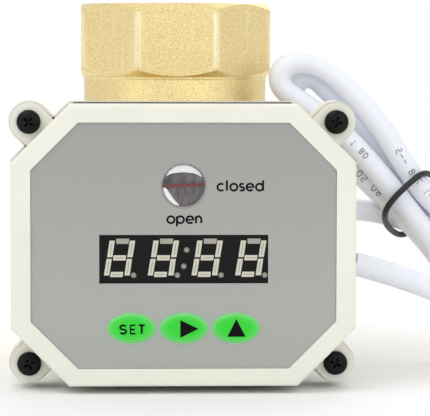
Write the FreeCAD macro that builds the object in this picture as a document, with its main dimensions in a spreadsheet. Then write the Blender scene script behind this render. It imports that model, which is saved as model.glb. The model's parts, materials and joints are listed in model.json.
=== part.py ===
import FreeCAD, Part
import math
import os
import re

import Sketcher

# Motorized ball valve with a timer actuator, DN32, G 1-1/4 ports, millimetres.
# +Z is the flow axis, -Y is the front with the display, +X is to the right.
# The origin is the centre of the lower port's face. At rest the valve is closed.

Vector = FreeCAD.Vector
doc = FreeCAD.newDocument("motorized_ball_valve")
sheet = doc.addObject("Spreadsheet::Sheet", "Sizes")

SIZES = [
    # Valve: lengths along the flow axis are heights above the lower face
    ("valve_length", 92.4), ("stem_rise", 2.6), ("stem_height", "=valve_length/2+stem_rise"),
    ("flats_across", 49.5), ("band_height", 19.0), ("band_round", 1.2),
    ("port_radius", 14.5), ("thread_minor", 19.475), ("thread_depth", 16.5),
    ("collar_radius", 24.1), ("neck_radius", 23.4), ("bulge_radius", 26.6),
    ("cavity_radius", 21.3), ("spigot_play", 0.1), ("gasket_thick", 0.8),
    ("ball_radius", 20.5), ("seat_play", 0.04), ("seat_width", 4.6), ("seat_back", 17.0),
    ("seat_lip", 9.6), ("seat_pocket_play", 0.1),
    ("boss_radius", 11.0), ("pad_side", 34.0), ("pad_thick", 6.0),
    ("pad_screw_pitch", 24.0), ("pad_screw_radius", 2.0), ("pad_head_radius", 3.3),
    ("pad_head_thick", 2.4), ("pad_screw_bite", 5.0),
    ("stem_radius", 4.95), ("stem_play", 0.06), ("flange_radius", 7.0), ("flange_thick", 2.2),
    ("flange_outer", 24.2), ("washer_thick", 0.8), ("tang_width", 6.0), ("tang_length", 12.2),
    ("tang_end", 16.3), ("slot_play", 0.1), ("ring_radius", 0.6), ("ring_first", 26.8),
    ("ring_pitch", 3.2), ("square_side", 7.0), ("square_room", 0.8),
    ("square_start", "=case_back-square_room"), ("square_reach", 9.0),
    ("square_end", "=case_back+square_reach"),
    # Gear train: wheel of the stem, idler between, pinion on the gear motor
    ("module_coarse", 0.8), ("module_fine", 0.6),
    ("output_teeth", 36), ("idler_small_teeth", 10), ("idler_large_teeth", 36),
    ("motor_teeth", 12), ("tooth_backlash", 0.1), ("idler_lean", 21.4), ("motor_lean", 50.0),
    # Actuator housing: depths are distances in front of the flow axis
    ("case_back", 34.0), ("motor_gap", 3.2), ("cover_depth", 13.0),
    ("case_front", "=plate_back+plate_thick+head_length+can_length+motor_gap+board_thick"
                   "+module_deep+panel_recess"),
    ("seam_depth", "=case_front-cover_depth"),
    ("case_draft", 1.0), ("wall", 2.2), ("back_wall", 2.5), ("cover_plate", 2.0),
    ("case_width", 80.8), ("case_drop", 14.0), ("wheel_room", 0.6),
    ("case_height", "=2*(case_drop+module_coarse*(output_teeth/2+1)+wheel_room+wall+case_draft)"),
    ("case_centre", "=stem_height-case_drop"), ("case_corner", 13.6),
    ("edge_round", 0.8), ("seam_groove", 0.5),
    ("ear_inset_across", 8.0), ("ear_across", "=case_width-ear_inset_across"),
    ("ear_inset_up", 8.6), ("ear_up", "=case_height-ear_inset_up"),
    ("ear_radius", 4.4), ("ear_reach", 6.0),
    ("ear_rise", 3.0), ("ear_front", "=seam_depth+ear_rise"),
    ("ear_base_length", 9.0), ("base_ear_extra", 0.5),
    ("screw_radius", 1.5), ("screw_head_radius", 2.85), ("screw_head_thick", 2.1),
    ("screw_length", 10.0), ("hole_play", 0.15),
    ("panel_border_across", 9.3), ("panel_width", "=case_width-panel_border_across"),
    ("panel_border_up", 8.4), ("panel_height", "=case_height-panel_border_up"),
    ("panel_corner", 11.1),
    ("panel_recess", 0.7), ("panel_thick", 0.4), ("panel_play", 0.1),
    ("lens_radius", 5.2), ("lens_thick", 1.6), ("lens_flange", 1.0),
    ("display_width", 39.5), ("display_height", 11.4), ("display_drop", 3.1),
    ("display_up", "=case_centre-display_drop"),
    ("module_width", 40.2), ("module_height", 12.8), ("module_deep", 7.0),
    ("key_drop", 19.3), ("key_up", "=case_centre-key_drop"), ("key_pitch", 12.2),
    ("key_across", 11.0), ("key_high", 6.8),
    ("key_proud", 0.5), ("key_play", 0.2), ("key_flange", 0.9), ("key_travel", 0.35),
    ("switch_side", 6.0), ("switch_deep", 3.0),
    ("board_thick", 1.6), ("board_margin", 1.2), ("post_radius", 2.8),
    ("post_inset_across", 20.8), ("post_across", "=case_width-post_inset_across"),
    ("post_inset_up", 34.0), ("post_up", "=case_height-post_inset_up"),
    ("post_rise", 5.2), ("post_centre", "=case_centre+post_rise"), ("board_screw_radius", 1.1),
    # Gear train: the depths of its wheels, plate, shaft, cam and dial
    ("output_gap", 5.6), ("output_back", "=case_back+output_gap"), ("output_thick", 5.0),
    ("hub_radius", 6.4), ("hub_play", 0.25),
    ("idler_gap", 5.5), ("idler_back", "=case_back+idler_gap"), ("idler_small_thick", 6.4),
    ("idler_large_thick", 3.0),
    ("pin_radius", 1.0), ("pin_play", 0.05), ("pinion_thick", 4.0),
    ("plate_stand", 17.5), ("plate_back", "=case_back+plate_stand"), ("plate_thick", 1.5),
    ("plate_head_thick", 1.4), ("plate_screw_bite", 5.0), ("board_head_thick", 1.2),
    ("board_screw_bite", 3.2), ("plate_post_radius", 3.0),
    ("plate_inset", 13.0), ("plate_reach", "=case_width/2-plate_inset"), ("plate_corner", 4.4),
    ("plate_rise", 12.6), ("plate_low", 27.0), ("plate_step", 4.8), ("plate_edge", 2.4),
    ("post_rise_high", 8.0), ("post_drop_low", 22.8),
    ("shaft_radius", 3.0), ("cam_radius", 8.0), ("cam_thick", 4.0), ("cam_gap", 1.6),
    ("cam_back", "=plate_back+plate_thick+cam_gap"),
    ("cam_notch", 1.6), ("dial_radius", 4.9), ("dial_thick", 0.8), ("dial_gap", 3.7),
    ("dial_front", "=case_front-dial_gap"),
    ("motor_radius", 12.2), ("head_length", 9.0), ("can_radius", 11.4), ("can_length", 13.5),
    ("motor_shaft", 1.5), ("limit_long", 12.8), ("limit_high", 6.4), ("limit_deep", 5.8),
    # Cable: radius, its gland in the right wall, and the tied hank beside the valve
    ("cable_radius", 2.9), ("gland_radius", 4.6), ("gland_inset", 3.9),
    ("gland_depth", "=case_back+back_wall+gland_radius+gland_inset"),
    ("gland_drop", 7.8), ("gland_up", "=case_centre-gland_drop"),
    ("gland_out", 3.6), ("gland_flange", 1.6), ("nut_thick", 2.5), ("nut_flange", 1.4),
    ("hank_near", 21.5), ("hank_thick", 17.5), ("hank_end", 12.0), ("hank_waist", 7.0),
    ("hank_overlap", 2.8), ("hank_left", "=case_width/2-hank_overlap"),
    ("hank_reach", 48.6), ("hank_right", "=case_width/2+hank_reach"),
    ("hank_rise", 18.8), ("hank_top", "=stem_height+hank_rise"),
    ("hank_drop", 36.4), ("hank_low", "=stem_height-hank_drop"),
    ("tie_width", 1.8), ("tie_thick", 1.6),
    ("lead_radius", 1.0), ("lead_length", 5.0), ("lead_spread", 1.35),
    # Power board and limit switches
    ("power_inset", 6.4), ("power_rise", 19.2), ("power_drop", 14.8), ("relay_high", 9.0),
    ("relay_long", 14.0), ("relay_tall", 12.0), ("relay_front", 5.0), ("can_size", 4.0),
    ("can_tall", 11.0), ("can_front", 9.0), ("can_rise", 7.2),
]
for row, (alias, value) in enumerate(SIZES, start=1):
    sheet.set(f"A{row}", alias)
    sheet.setAlias(f"B{row}", alias)
for row, (alias, value) in enumerate(SIZES, start=1):
    sheet.set(f"B{row}", str(value))
doc.recompute()

nodes = {}


def size(alias):
    return float(sheet.get(alias))


def bound(text):
    """An expression on the sheet's aliases."""
    return re.sub(r"\b([a-z][a-z_]{2,})\b", r"Sizes.\1", str(text))


def place(item, x="0", y="0", z="0", turn=None):
    if turn:
        item.Placement = FreeCAD.Placement(Vector(), FreeCAD.Rotation(turn[0], turn[1]))
    for axis, text in zip("xyz", (x, y, z)):
        item.setExpression(f"Placement.Base.{axis}", bound(text))
    return item


def node(name, item):
    item.Label = name
    nodes[name] = item
    return item


# Part primitives and booleans, their sizes bound to the sheet

TO_FRONT = (Vector(1, 0, 0), 90)
TO_RIGHT = (Vector(0, 1, 0), 90)


def primitive(kind, name, sizes, x="0", y="0", z="0", turn=None):
    item = doc.addObject("Part::" + kind, name)
    for key, text in sizes.items():
        item.setExpression(key, bound(text))
    return place(item, x, y, z, turn)


def cylinder(name, radius, height, x="0", y="0", z="0", turn=None):
    return primitive("Cylinder", name, {"Radius": radius, "Height": height}, x, y, z, turn)


def forward(name, radius, back, front, x="0", z="stem_height"):
    """A cylinder along the stem's direction, between two depths."""
    return cylinder(name, radius, f"({front})-({back})", x, f"-({back})", z, TO_FRONT)


def block(name, x_low, x_high, back, front, z_low, z_high):
    """A box between two depths."""
    sizes = {"Length": f"({x_high})-({x_low})", "Width": f"({front})-({back})",
             "Height": f"({z_high})-({z_low})"}
    return primitive("Box", name, sizes, x_low, f"-({front})", z_low)


def cut(name, base, tool):
    item = doc.addObject("Part::Cut", name)
    item.Base = base
    item.Tool = tool
    return item


def fuse(name, items):
    item = doc.addObject("Part::MultiFuse", name)
    item.Shapes = items
    return item


def together(name, items):
    """Separate solids kept as one group."""
    item = doc.addObject("Part::Compound", name)
    item.Links = items
    return item


# Sketched bodies: the XZ plane, drawn as seen from the front, padded to the front


def body(name, depth):
    item = doc.addObject("PartDesign::Body", name)
    place(item, y=f"-({depth})")
    return node(name, item)


def sketch(owner, name, lift="0"):
    item = owner.newObject("Sketcher::SketchObject", name)
    plane = [f for f in owner.Origin.OriginFeatures if f.Role == "XZ_Plane"][0]
    item.AttachmentSupport = (plane, [""])
    item.MapMode = "FlatFace"
    item.setExpression("AttachmentOffset.Base.z", bound(lift))
    return item


def fix(item, geometry, point, x, y):
    for kind, text in (("DistanceX", x), ("DistanceY", y)):
        index = item.addConstraint(Sketcher.Constraint(kind, -1, 1, geometry, point, 1.0))
        item.setExpression(f"Constraints[{index}]", bound(text))


def loop(item, points):
    first = item.GeometryCount
    count = len(points)
    for i in range(count):
        here, there = 2 * math.pi * i / count, 2 * math.pi * (i + 1) / count
        item.addGeometry(Part.LineSegment(Vector(math.cos(here), math.sin(here), 0),
                                          Vector(math.cos(there), math.sin(there), 0)))
    for i in range(count):
        item.addConstraint(Sketcher.Constraint("Coincident", first + i, 2, first + (i + 1) % count, 1))
    for i, (x, y) in enumerate(points):
        fix(item, first + i, 1, x, y)


def circle(item, x, y, radius):
    index = item.addGeometry(Part.Circle(Vector(1, 1, 0), Vector(0, 0, 1), 1))
    fix(item, index, 3, x, y)
    rule = item.addConstraint(Sketcher.Constraint("Radius", index, 1.0))
    item.setExpression(f"Constraints[{rule}]", bound(radius))


def rectangle(item, x, y, width, height):
    loop(item, [(f"({x})+({width})/2*({i})", f"({y})+({height})/2*({j})")
                for i, j in ((1, 1), (-1, 1), (-1, -1), (1, -1))])


def eight_sided(item, width, height, corner, centre="case_centre"):
    """A rectangle with its corners cut at 45 degrees."""
    points = []
    for i, j in ((1, 1), (-1, 1), (-1, -1), (1, -1)):
        side = (f"({width})/2*({i})", f"{centre}+(({height})/2-({corner}))*({j})")
        level = (f"(({width})/2-({corner}))*({i})", f"{centre}+({height})/2*({j})")
        points += [side, level] if i == j else [level, side]
    loop(item, points)


def pad(owner, profile, length):
    item = owner.newObject("PartDesign::Pad", profile.Name + "_pad")
    item.Profile = profile
    item.setExpression("Length", bound(length))
    profile.Visibility = False
    return item


def pocket(owner, profile, length):
    item = owner.newObject("PartDesign::Pocket", profile.Name + "_pocket")
    item.Profile = profile
    item.setExpression("Length", bound(length))
    profile.Visibility = False
    return item


CORNERS = ((1, 1), (-1, 1), (-1, -1), (1, -1))
CASE_CORNER = "case_corner-wall*0.586"


# The valve


def octagon_band(name, z):
    """An octagonal end with its points turned off, one flat to the front."""
    prism = primitive("Prism", name + "_prism", {"Circumradius": "flats_across/2/0.92388",
                      "Height": "band_height"}, z=z, turn=(Vector(0, 0, 1), 22.5))
    prism.Polygon = 8
    doc.recompute()
    rounded = doc.addObject("Part::Fillet", name + "_rounded")
    rounded.Base = prism
    upright = [k for k, edge in enumerate(prism.Shape.Edges, start=1)
               if edge.BoundBox.ZLength > size("band_height") / 2]
    rounded.Edges = [(k, size("band_round"), size("band_round")) for k in upright]
    spread = "flats_across/2-0.3+band_height/2*1.3"
    low = primitive("Cone", name + "_low", {"Radius1": "flats_across/2-0.3", "Radius2": spread,
                    "Height": "band_height/2"}, z=z)
    high = primitive("Cone", name + "_high", {"Radius1": spread, "Radius2": "flats_across/2-0.3",
                     "Height": "band_height/2"}, z=f"({z})+band_height/2")
    item = doc.addObject("Part::Common", name)
    item.Base = rounded
    item.Tool = fuse(name + "_turning", [low, high])
    return item


def valve_body():
    rim = "valve_length-band_height-gasket_thick"
    outside = [
        octagon_band("lower_band", "0"),
        cylinder("neck", "neck_radius", f"{rim}-band_height/2", z="band_height/2"),
        cylinder("collar", "collar_radius", f"{rim}-stem_height", z="stem_height"),
        primitive("Sphere", "bulge", {"Radius": "bulge_radius"}, z="stem_height"),
        forward("boss", "boss_radius", "0", "case_back"),
    ]
    pad_block = block("pad", "-pad_side/2", "pad_side/2", "case_back-pad_thick", "case_back",
                      "stem_height-pad_side/2", "stem_height+pad_side/2")
    outside.append(pad_block)
    inside = [
        cylinder("lower_thread_bore", "thread_minor", "thread_depth"),
        cylinder("lower_port", "port_radius", "stem_height"),
        cylinder("lower_seat_pocket", "port_radius+seat_width+seat_pocket_play", "seat_back",
                 z="stem_height-seat_back"),
        cylinder("cavity", "cavity_radius", "valve_length", z="stem_height-seat_lip"),
        forward("stem_bore", "stem_radius+stem_play", "0", "case_back"),
        forward("stem_recess", "flange_radius+stem_play", "0", "flange_outer+washer_thick"),
    ]
    inside.append(block("above_rim", "-flats_across", "flats_across", "-flats_across", "case_back+1",
                        rim, "valve_length+bulge_radius"))
    for i, j in CORNERS:
        inside.append(forward("pad_hole", "pad_screw_radius", "case_back-pad_thick-1", "case_back",
                              f"pad_screw_pitch/2*({i})", f"stem_height+pad_screw_pitch/2*({j})"))
    node("valve_body", cut("valve_body", fuse("valve_outside", outside),
                           fuse("valve_inside", inside)))


def end_connector():
    underside = "valve_length-band_height"
    outside = [octagon_band("upper_band", underside),
               cylinder("spigot", "cavity_radius-spigot_play", f"{underside}-stem_height-seat_lip+1",
                        z="stem_height+seat_lip")]
    inside = [
        cylinder("upper_thread_bore", "thread_minor", "thread_depth", z="valve_length-thread_depth"),
        cylinder("upper_port", "port_radius", "valve_length-stem_height", z="stem_height"),
        cylinder("upper_seat_pocket", "port_radius+seat_width+seat_pocket_play", "seat_back",
                 z="stem_height"),
    ]
    node("end_connector", cut("end_connector", fuse("connector_outside", outside),
                              fuse("connector_inside", inside)))


def ring(name, outer, inner, height, z):
    return cut(name, cylinder(name + "_disc", outer, height, z=z),
               cylinder(name + "_hole", inner, height, z=z))


def seat(name, side):
    """A seat ring whose lip is hollowed to the ball."""
    length = "seat_back-seat_lip"
    low = f"stem_height+({side})*(seat_back+seat_lip)/2-({length})/2"
    blank = ring(name + "_blank", "port_radius+seat_width", "port_radius", length, low)
    hollow = primitive("Sphere", name + "_hollow", {"Radius": "ball_radius+seat_play"},
                       z="stem_height")
    node(name, cut(name, blank, hollow))


def ball():
    """Closed: the bore lies across the flow, and the slot for the stem along it."""
    sphere = primitive("Sphere", "ball_sphere", {"Radius": "ball_radius"}, z="stem_height")
    bore = cylinder("ball_bore", "port_radius", "ball_radius*2.2", "-ball_radius*1.1",
                    z="stem_height", turn=TO_RIGHT)
    slot = block("ball_slot", "-tang_width/2-slot_play", "tang_width/2+slot_play",
                 "tang_end-slot_play*2", "ball_radius+1",
                 "stem_height-ball_radius", "stem_height+ball_radius")
    node("ball", cut("ball", sphere, fuse("ball_cuts", [bore, slot])))


def stem():
    tang = block("tang", "-tang_width/2", "tang_width/2", "tang_end", "flange_outer-1",
                 "stem_height-tang_length/2", "stem_height+tang_length/2")
    flange = forward("stem_flange", "flange_radius-stem_play", "flange_outer-flange_thick",
                     "flange_outer")
    shank = forward("shank", "stem_radius", "flange_outer-1", "square_start")
    square = block("stem_square", "-square_side/2", "square_side/2", "square_start-1", "square_end",
                   "stem_height-square_side/2", "stem_height+square_side/2")
    solid = fuse("stem_solid", [tang, flange, shank, square])
    grooves = []
    rings = []
    for index in range(2):
        middle = f"ring_first+ring_pitch*({index})"
        outer = forward("groove_outer", "stem_radius+1", f"{middle}-ring_radius*1.1",
                        f"{middle}+ring_radius*1.1")
        inner = forward("groove_inner", "stem_radius-ring_radius*2", f"{middle}-ring_radius*1.1",
                        f"{middle}+ring_radius*1.1")
        grooves.append(cut("groove", outer, inner))
        rings.append(primitive("Torus", "stem_ring", {"Radius1": "stem_radius-ring_radius",
                     "Radius2": "ring_radius-0.02"}, y=f"-({middle})", z="stem_height",
                     turn=TO_FRONT))
    node("stem", cut("stem", solid, fuse("grooves", grooves)))
    node("stem_o_rings", together("stem_o_rings", rings))
    washer = forward("washer_disc", "flange_radius-stem_play", "flange_outer+0.03",
                     "flange_outer+washer_thick")
    hole = forward("washer_hole", "stem_radius+stem_play", "flange_outer",
                   "flange_outer+washer_thick")
    node("thrust_washer", cut("thrust_washer", washer, hole))


# Fasteners


def pan_head(name, shank, head, head_thick, back, seat_depth, x, z):
    """A screw driven from the front, its head on the depth of its seat."""
    return fuse(name, [forward(name + "_shank", shank, back, f"({seat_depth})+0.2", x, z),
                       forward(name + "_head", head, seat_depth, f"({seat_depth})+({head_thick})",
                               x, z)])


def cover_screws():
    screws = [pan_head("cover_screw", "screw_radius", "screw_head_radius", "screw_head_thick",
                       "ear_front-screw_length", "ear_front", f"ear_across/2*({i})",
                       f"case_centre+ear_up/2*({j})") for i, j in CORNERS]
    rounded = []
    for screw in screws:
        crown = doc.addObject("Part::Fillet", "cover_screw_crown")
        crown.Base = screw
        rounded.append((crown, screw))
    doc.recompute()
    for crown, screw in rounded:
        front = -(size("ear_front") + size("screw_head_thick"))
        edges = [k for k, edge in enumerate(screw.Shape.Edges, start=1)
                 if abs(edge.BoundBox.YMin - front) < 1e-4 and abs(edge.BoundBox.YMax - front) < 1e-4]
        crown.Edges = [(k, size("screw_head_thick") * 0.45, size("screw_head_thick") * 0.45)
                       for k in edges]
    node("cover_screws", together("cover_screws", [crown for crown, screw in rounded]))


def mounting_screws():
    screws = [pan_head("mounting_screw", "pad_screw_radius-0.05", "pad_head_radius",
                       "pad_head_thick", "case_back-pad_screw_bite", "case_back+back_wall",
                       f"pad_screw_pitch/2*({i})", f"stem_height+pad_screw_pitch/2*({j})")
              for i, j in CORNERS]
    node("mounting_screws", together("mounting_screws", screws))


# The actuator's housing


def ears(owner, name, back, length, extra):
    """Four screw ears standing off the cut corners."""
    discs = sketch(owner, name + "_discs", back)
    webs = sketch(owner, name + "_webs", back)
    for i, j in CORNERS:
        x, z = f"ear_across/2*({i})", f"case_centre+ear_up/2*({j})"
        circle(discs, x, z, f"ear_radius+{extra}")
        wide, reach = f"(ear_radius+{extra})*0.7071", "ear_reach*0.7071"
        points = [(f"{x}-({j})*{wide}", f"{z}+({i})*{wide}"), (f"{x}+({j})*{wide}", f"{z}-({i})*{wide}"),
                  (f"{x}+({j})*{wide}-({i})*{reach}", f"{z}-({i})*{wide}-({j})*{reach}"),
                  (f"{x}-({j})*{wide}-({i})*{reach}", f"{z}+({i})*{wide}-({j})*{reach}")]
        loop(webs, points)
    pad(owner, discs, length)
    pad(owner, webs, length)


def four_holes(owner, name, lift, radius, length, across, up, centre):
    holes = sketch(owner, name, lift)
    for i, j in CORNERS:
        circle(holes, f"({across})/2*({i})", f"{centre}+({up})/2*({j})", radius)
    pocket(owner, holes, length)


def base_housing():
    owner = body("base_housing", "case_back")
    deep = "seam_depth-case_back"
    back = sketch(owner, "base_back_outline")
    eight_sided(back, "case_width-case_draft*2", "case_height-case_draft*2",
                "case_corner-case_draft*0.586")
    front = sketch(owner, "base_front_outline", deep)
    eight_sided(front, "case_width", "case_height", "case_corner")
    shell = owner.newObject("PartDesign::AdditiveLoft", "base_shell")
    shell.Profile = back
    shell.Sections = [front]
    shell.Ruled = True
    ears(owner, "base_ear", f"{deep}-ear_base_length", "ear_base_length", "base_ear_extra")
    hollow = sketch(owner, "base_hollow", deep)
    eight_sided(hollow, "case_width-case_draft*2-wall*2", "case_height-case_draft*2-wall*2",
                "case_corner-case_draft*0.586-wall*0.586")
    pocket(owner, hollow, f"{deep}-back_wall")
    posts = sketch(owner, "plate_posts", "back_wall")
    for x, z in PLATE_POSTS:
        circle(posts, x, z, "plate_post_radius")
    pad(owner, posts, "plate_back-case_back-back_wall")
    seat_boss = sketch(owner, "idler_boss", "back_wall")
    circle(seat_boss, IDLER[0], IDLER[1], "pin_radius*2.4")
    pad(owner, seat_boss, "idler_back-case_back-back_wall-hub_play")
    hub = sketch(owner, "hub_hole", "back_wall")
    circle(hub, "0", "stem_height", "hub_radius+hub_play")
    pocket(owner, hub, "back_wall")
    four_holes(owner, "mounting_holes", "back_wall", "pad_screw_radius+hole_play", "back_wall",
               "pad_screw_pitch", "pad_screw_pitch", "stem_height")
    four_holes(owner, "base_ear_holes", deep, "screw_radius", "ear_base_length",
               "ear_across", "ear_up", "case_centre")
    pins = sketch(owner, "post_holes", "plate_back-case_back")
    for x, z in PLATE_POSTS:
        circle(pins, x, z, "board_screw_radius")
    pocket(owner, pins, "6")
    side = owner.newObject("Sketcher::SketchObject", "gland_hole")
    plane = [f for f in owner.Origin.OriginFeatures if f.Role == "YZ_Plane"][0]
    side.AttachmentSupport = (plane, [""])
    side.MapMode = "FlatFace"
    side.setExpression("AttachmentOffset.Base.z", bound("case_width/2+1"))
    circle(side, "-(gland_depth-case_back)", "gland_up", "gland_radius")
    pocket(owner, side, "wall*3")


def front_cover():
    owner = body("front_cover", "seam_depth+seam_groove")
    deep = "case_front-seam_depth-seam_groove"
    shell = sketch(owner, "cover_outline")
    eight_sided(shell, "case_width", "case_height", "case_corner")
    block_pad = pad(owner, shell, deep)
    doc.recompute()
    rim = [f"Edge{k}" for k, edge in enumerate(block_pad.Shape.Edges, start=1)
           if edge.BoundBox.YLength < 1e-6 and edge.BoundBox.YMin < -size("case_front")
           + size("seam_depth") + size("seam_groove") + 1e-6]
    bevel = owner.newObject("PartDesign::Fillet", "cover_edge")
    bevel.Base = (block_pad, rim)
    bevel.setExpression("Radius", bound("edge_round"))
    ears(owner, "cover_ear", "0", "ear_front-seam_depth-seam_groove", "0")
    hollow = sketch(owner, "cover_hollow")
    eight_sided(hollow, "case_width-wall*2", "case_height-wall*2", CASE_CORNER)
    inside = pocket(owner, hollow, f"{deep}-cover_plate-panel_recess")
    inside.Reversed = True
    recess = sketch(owner, "panel_recess_outline", deep)
    eight_sided(recess, "panel_width", "panel_height", "panel_corner")
    pocket(owner, recess, "panel_recess")
    openings = sketch(owner, "cover_openings", deep)
    circle(openings, "0", "stem_height", "lens_radius+lens_flange")
    rectangle(openings, "0", "display_up", "module_width+0.4", "module_height+0.4")
    pocket(owner, openings, "cover_plate*3")
    posts = sketch(owner, "board_posts", BOARD_FRONT)
    for i, j in CORNERS:
        circle(posts, f"post_across/2*({i})", f"post_centre+post_up/2*({j})", "post_radius")
    pad(owner, posts, f"{deep}-cover_plate-panel_recess-({BOARD_FRONT})")
    four_holes(owner, "board_post_holes", f"({BOARD_FRONT})+3.5", "board_screw_radius", "3.5",
               "post_across", "post_up", "post_centre")
    four_holes(owner, "cover_ear_holes", deep, "screw_radius+hole_play", deep,
               "ear_across", "ear_up", "case_centre")
    node("front_cover_shell", nodes.pop("front_cover"))


def oval(name, across, high, back, front, x):
    """An elliptic cylinder between two depths, at a key's place."""
    ellipse = doc.addObject("Part::Ellipse", name + "_outline")
    ellipse.setExpression("MajorRadius", bound(f"({across})/2"))
    ellipse.setExpression("MinorRadius", bound(f"({high})/2"))
    item = doc.addObject("Part::Extrusion", name)
    item.Base = ellipse
    item.DirMode = "Custom"
    item.Dir = Vector(0, 0, 1)
    item.Solid = True
    item.setExpression("LengthFwd", bound(f"({front})-({back})"))
    return place(item, x, f"-({back})", "key_up", TO_FRONT)


KEYS = {"set_button": "-key_pitch", "next_button": "0", "up_button": "key_pitch"}
PLATE_UNDER = "case_front-panel_recess-cover_plate"
FLANGE_BACK = "case_front-panel_recess-cover_plate-0.3-key_flange"


def key_openings():
    """The cover and the panel get the keys' oval openings."""
    shell = nodes.pop("front_cover_shell")
    shell.Label = "front_cover_shell"
    tools = [oval(name + "_opening", "key_across+key_play*2", "key_high+key_play*2",
                  f"{PLATE_UNDER}-1", "case_front", x) for name, x in KEYS.items()]
    node("front_cover", cut("front_cover", shell, fuse("cover_key_openings", tools)))
    panel = body("panel_blank", "case_front-panel_recess")
    outline = sketch(panel, "panel_outline")
    eight_sided(outline, "panel_width-panel_play*2", "panel_height-panel_play*2",
                "panel_corner-panel_play*0.586")
    circle(outline, "0", "stem_height", "lens_radius+0.05")
    rectangle(outline, "0", "display_up", "display_width", "display_height")
    pad(panel, outline, "panel_thick")
    nodes.pop("panel_blank")
    tools = [oval(name + "_panel_opening", "key_across+key_play", "key_high+key_play",
                  f"{PLATE_UNDER}-1", "case_front", x) for name, x in KEYS.items()]
    node("faceplate", cut("faceplate", panel, fuse("panel_key_openings", tools)))


def keys():
    for name, x in KEYS.items():
        front = "case_front-panel_recess+panel_thick+key_proud"
        crown = oval(name + "_crown", "key_across-key_play", "key_high-key_play", FLANGE_BACK,
                     front, x)
        flange = oval(name + "_flange", "key_across+key_play*4", "key_high+1.6", FLANGE_BACK,
                      f"{FLANGE_BACK}+key_flange", x)
        node(name, fuse(name, [crown, flange]))
    switches = []
    for name, x in KEYS.items():
        case = block(name + "_switch_case", f"({x})-switch_side/2", f"({x})+switch_side/2",
                     BOARD_FACE, f"{BOARD_FACE}+switch_deep", "key_up-switch_side/2",
                     "key_up+switch_side/2")
        nose = forward(name + "_switch_nose", "switch_side/4", BOARD_FACE,
                       f"{FLANGE_BACK}-key_travel-0.05", x, "key_up")
        switches.append(fuse(name + "_switch", [case, nose]))
    node("key_switches", together("key_switches", switches))


def cover_gasket():
    owner = body("cover_gasket", "seam_depth")
    outline = sketch(owner, "gasket_outline")
    eight_sided(outline, "case_width-1.4", "case_height-1.4", "case_corner-0.4")
    eight_sided(outline, "case_width-wall*2", "case_height-wall*2", CASE_CORNER)
    pad(owner, outline, "seam_groove")


# Display, window and boards

BOARD_FRONT = "case_front-panel_recess-module_deep-seam_depth-seam_groove"
BOARD_FACE = "(case_front-panel_recess-module_deep)"
BOARD_BACK = "(case_front-panel_recess-module_deep-board_thick)"


def boards():
    owner = body("control_board", BOARD_BACK)
    outline = sketch(owner, "board_outline")
    eight_sided(outline, "case_width-wall*2-board_margin*2", "case_height-wall*2-board_margin*2",
                CASE_CORNER)
    circle(outline, "0", "stem_height", "lens_radius+lens_flange")
    for i, j in CORNERS:
        circle(outline, f"post_across/2*({i})", f"post_centre+post_up/2*({j})",
               "board_screw_radius+hole_play")
    pad(owner, outline, "board_thick")
    node("display_module", block("display_module", "-module_width/2", "module_width/2", BOARD_FACE,
                                 "case_front-panel_recess", "display_up-module_height/2",
                                 "display_up+module_height/2"))
    screws = []
    for i, j in CORNERS:
        x, z = f"post_across/2*({i})", f"post_centre+post_up/2*({j})"
        screws.append(fuse("board_screw", [
            forward("board_screw_shank", "board_screw_radius-0.02", f"{BOARD_BACK}-0.2",
                    f"{BOARD_FACE}+board_screw_bite", x, z),
            forward("board_screw_head", "board_screw_radius*1.9", f"{BOARD_BACK}-board_head_thick",
                    BOARD_BACK, x, z)]))
    node("board_screws", together("board_screws", screws))
    wall_side = "power_inset-case_width/2"
    face = f"{wall_side}+board_thick"
    slab = block("power_slab", wall_side, face, "case_back+back_wall+0.3", "seam_depth-4",
                 "case_centre-power_drop", "case_centre+power_rise")
    relay = block("relay", face, f"{face}+relay_high", "seam_depth-relay_front-relay_long",
                  "seam_depth-relay_front", "case_centre-relay_tall-0.8", "case_centre-0.8")
    can = cylinder("capacitor", "can_size", "can_tall", face, "-(seam_depth-can_front)",
                   "case_centre+can_rise", TO_RIGHT)
    node("power_board", fuse("power_board", [slab, relay, can]))


def window():
    plug = forward("lens_plug", "lens_radius", f"{PLATE_UNDER}-0.8",
                   "case_front-panel_recess+panel_thick+lens_thick*0.5")
    flange = forward("lens_rim", "lens_radius+lens_flange-0.05", f"{PLATE_UNDER}-0.8",
                     "case_front-panel_recess")
    hollow = forward("lens_hollow", "lens_radius-0.9", f"{PLATE_UNDER}-2",
                     "case_front-panel_recess+panel_thick+lens_thick*0.5-0.9")
    node("window_lens", cut("window_lens", fuse("lens_solid", [plug, flange]), hollow))


# Gear train


reach_output = (size("output_teeth") + size("idler_small_teeth")) / 2 * size("module_coarse")
reach_motor = (size("idler_large_teeth") + size("motor_teeth")) / 2 * size("module_fine")
IDLER_X = -reach_output * math.sin(math.radians(size("idler_lean")))
IDLER_Z = size("stem_height") - reach_output * math.cos(math.radians(size("idler_lean")))
MOTOR_X = IDLER_X + reach_motor * math.sin(math.radians(size("motor_lean")))
MOTOR_Z = IDLER_Z - reach_motor * math.cos(math.radians(size("motor_lean")))
IDLER = (f"{IDLER_X:.6f}", f"{IDLER_Z:.6f}")
MOTOR = (f"{MOTOR_X:.6f}", f"{MOTOR_Z:.6f}")
HIGH_POST, LOW_POST = "stem_height+post_rise_high", "case_centre-post_drop_low"
PLATE_POSTS = (("plate_edge-plate_reach", HIGH_POST), ("plate_reach-plate_edge", HIGH_POST),
               ("plate_reach-plate_edge", LOW_POST),
               ("plate_edge-plate_reach+plate_corner+0.6", LOW_POST))


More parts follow.
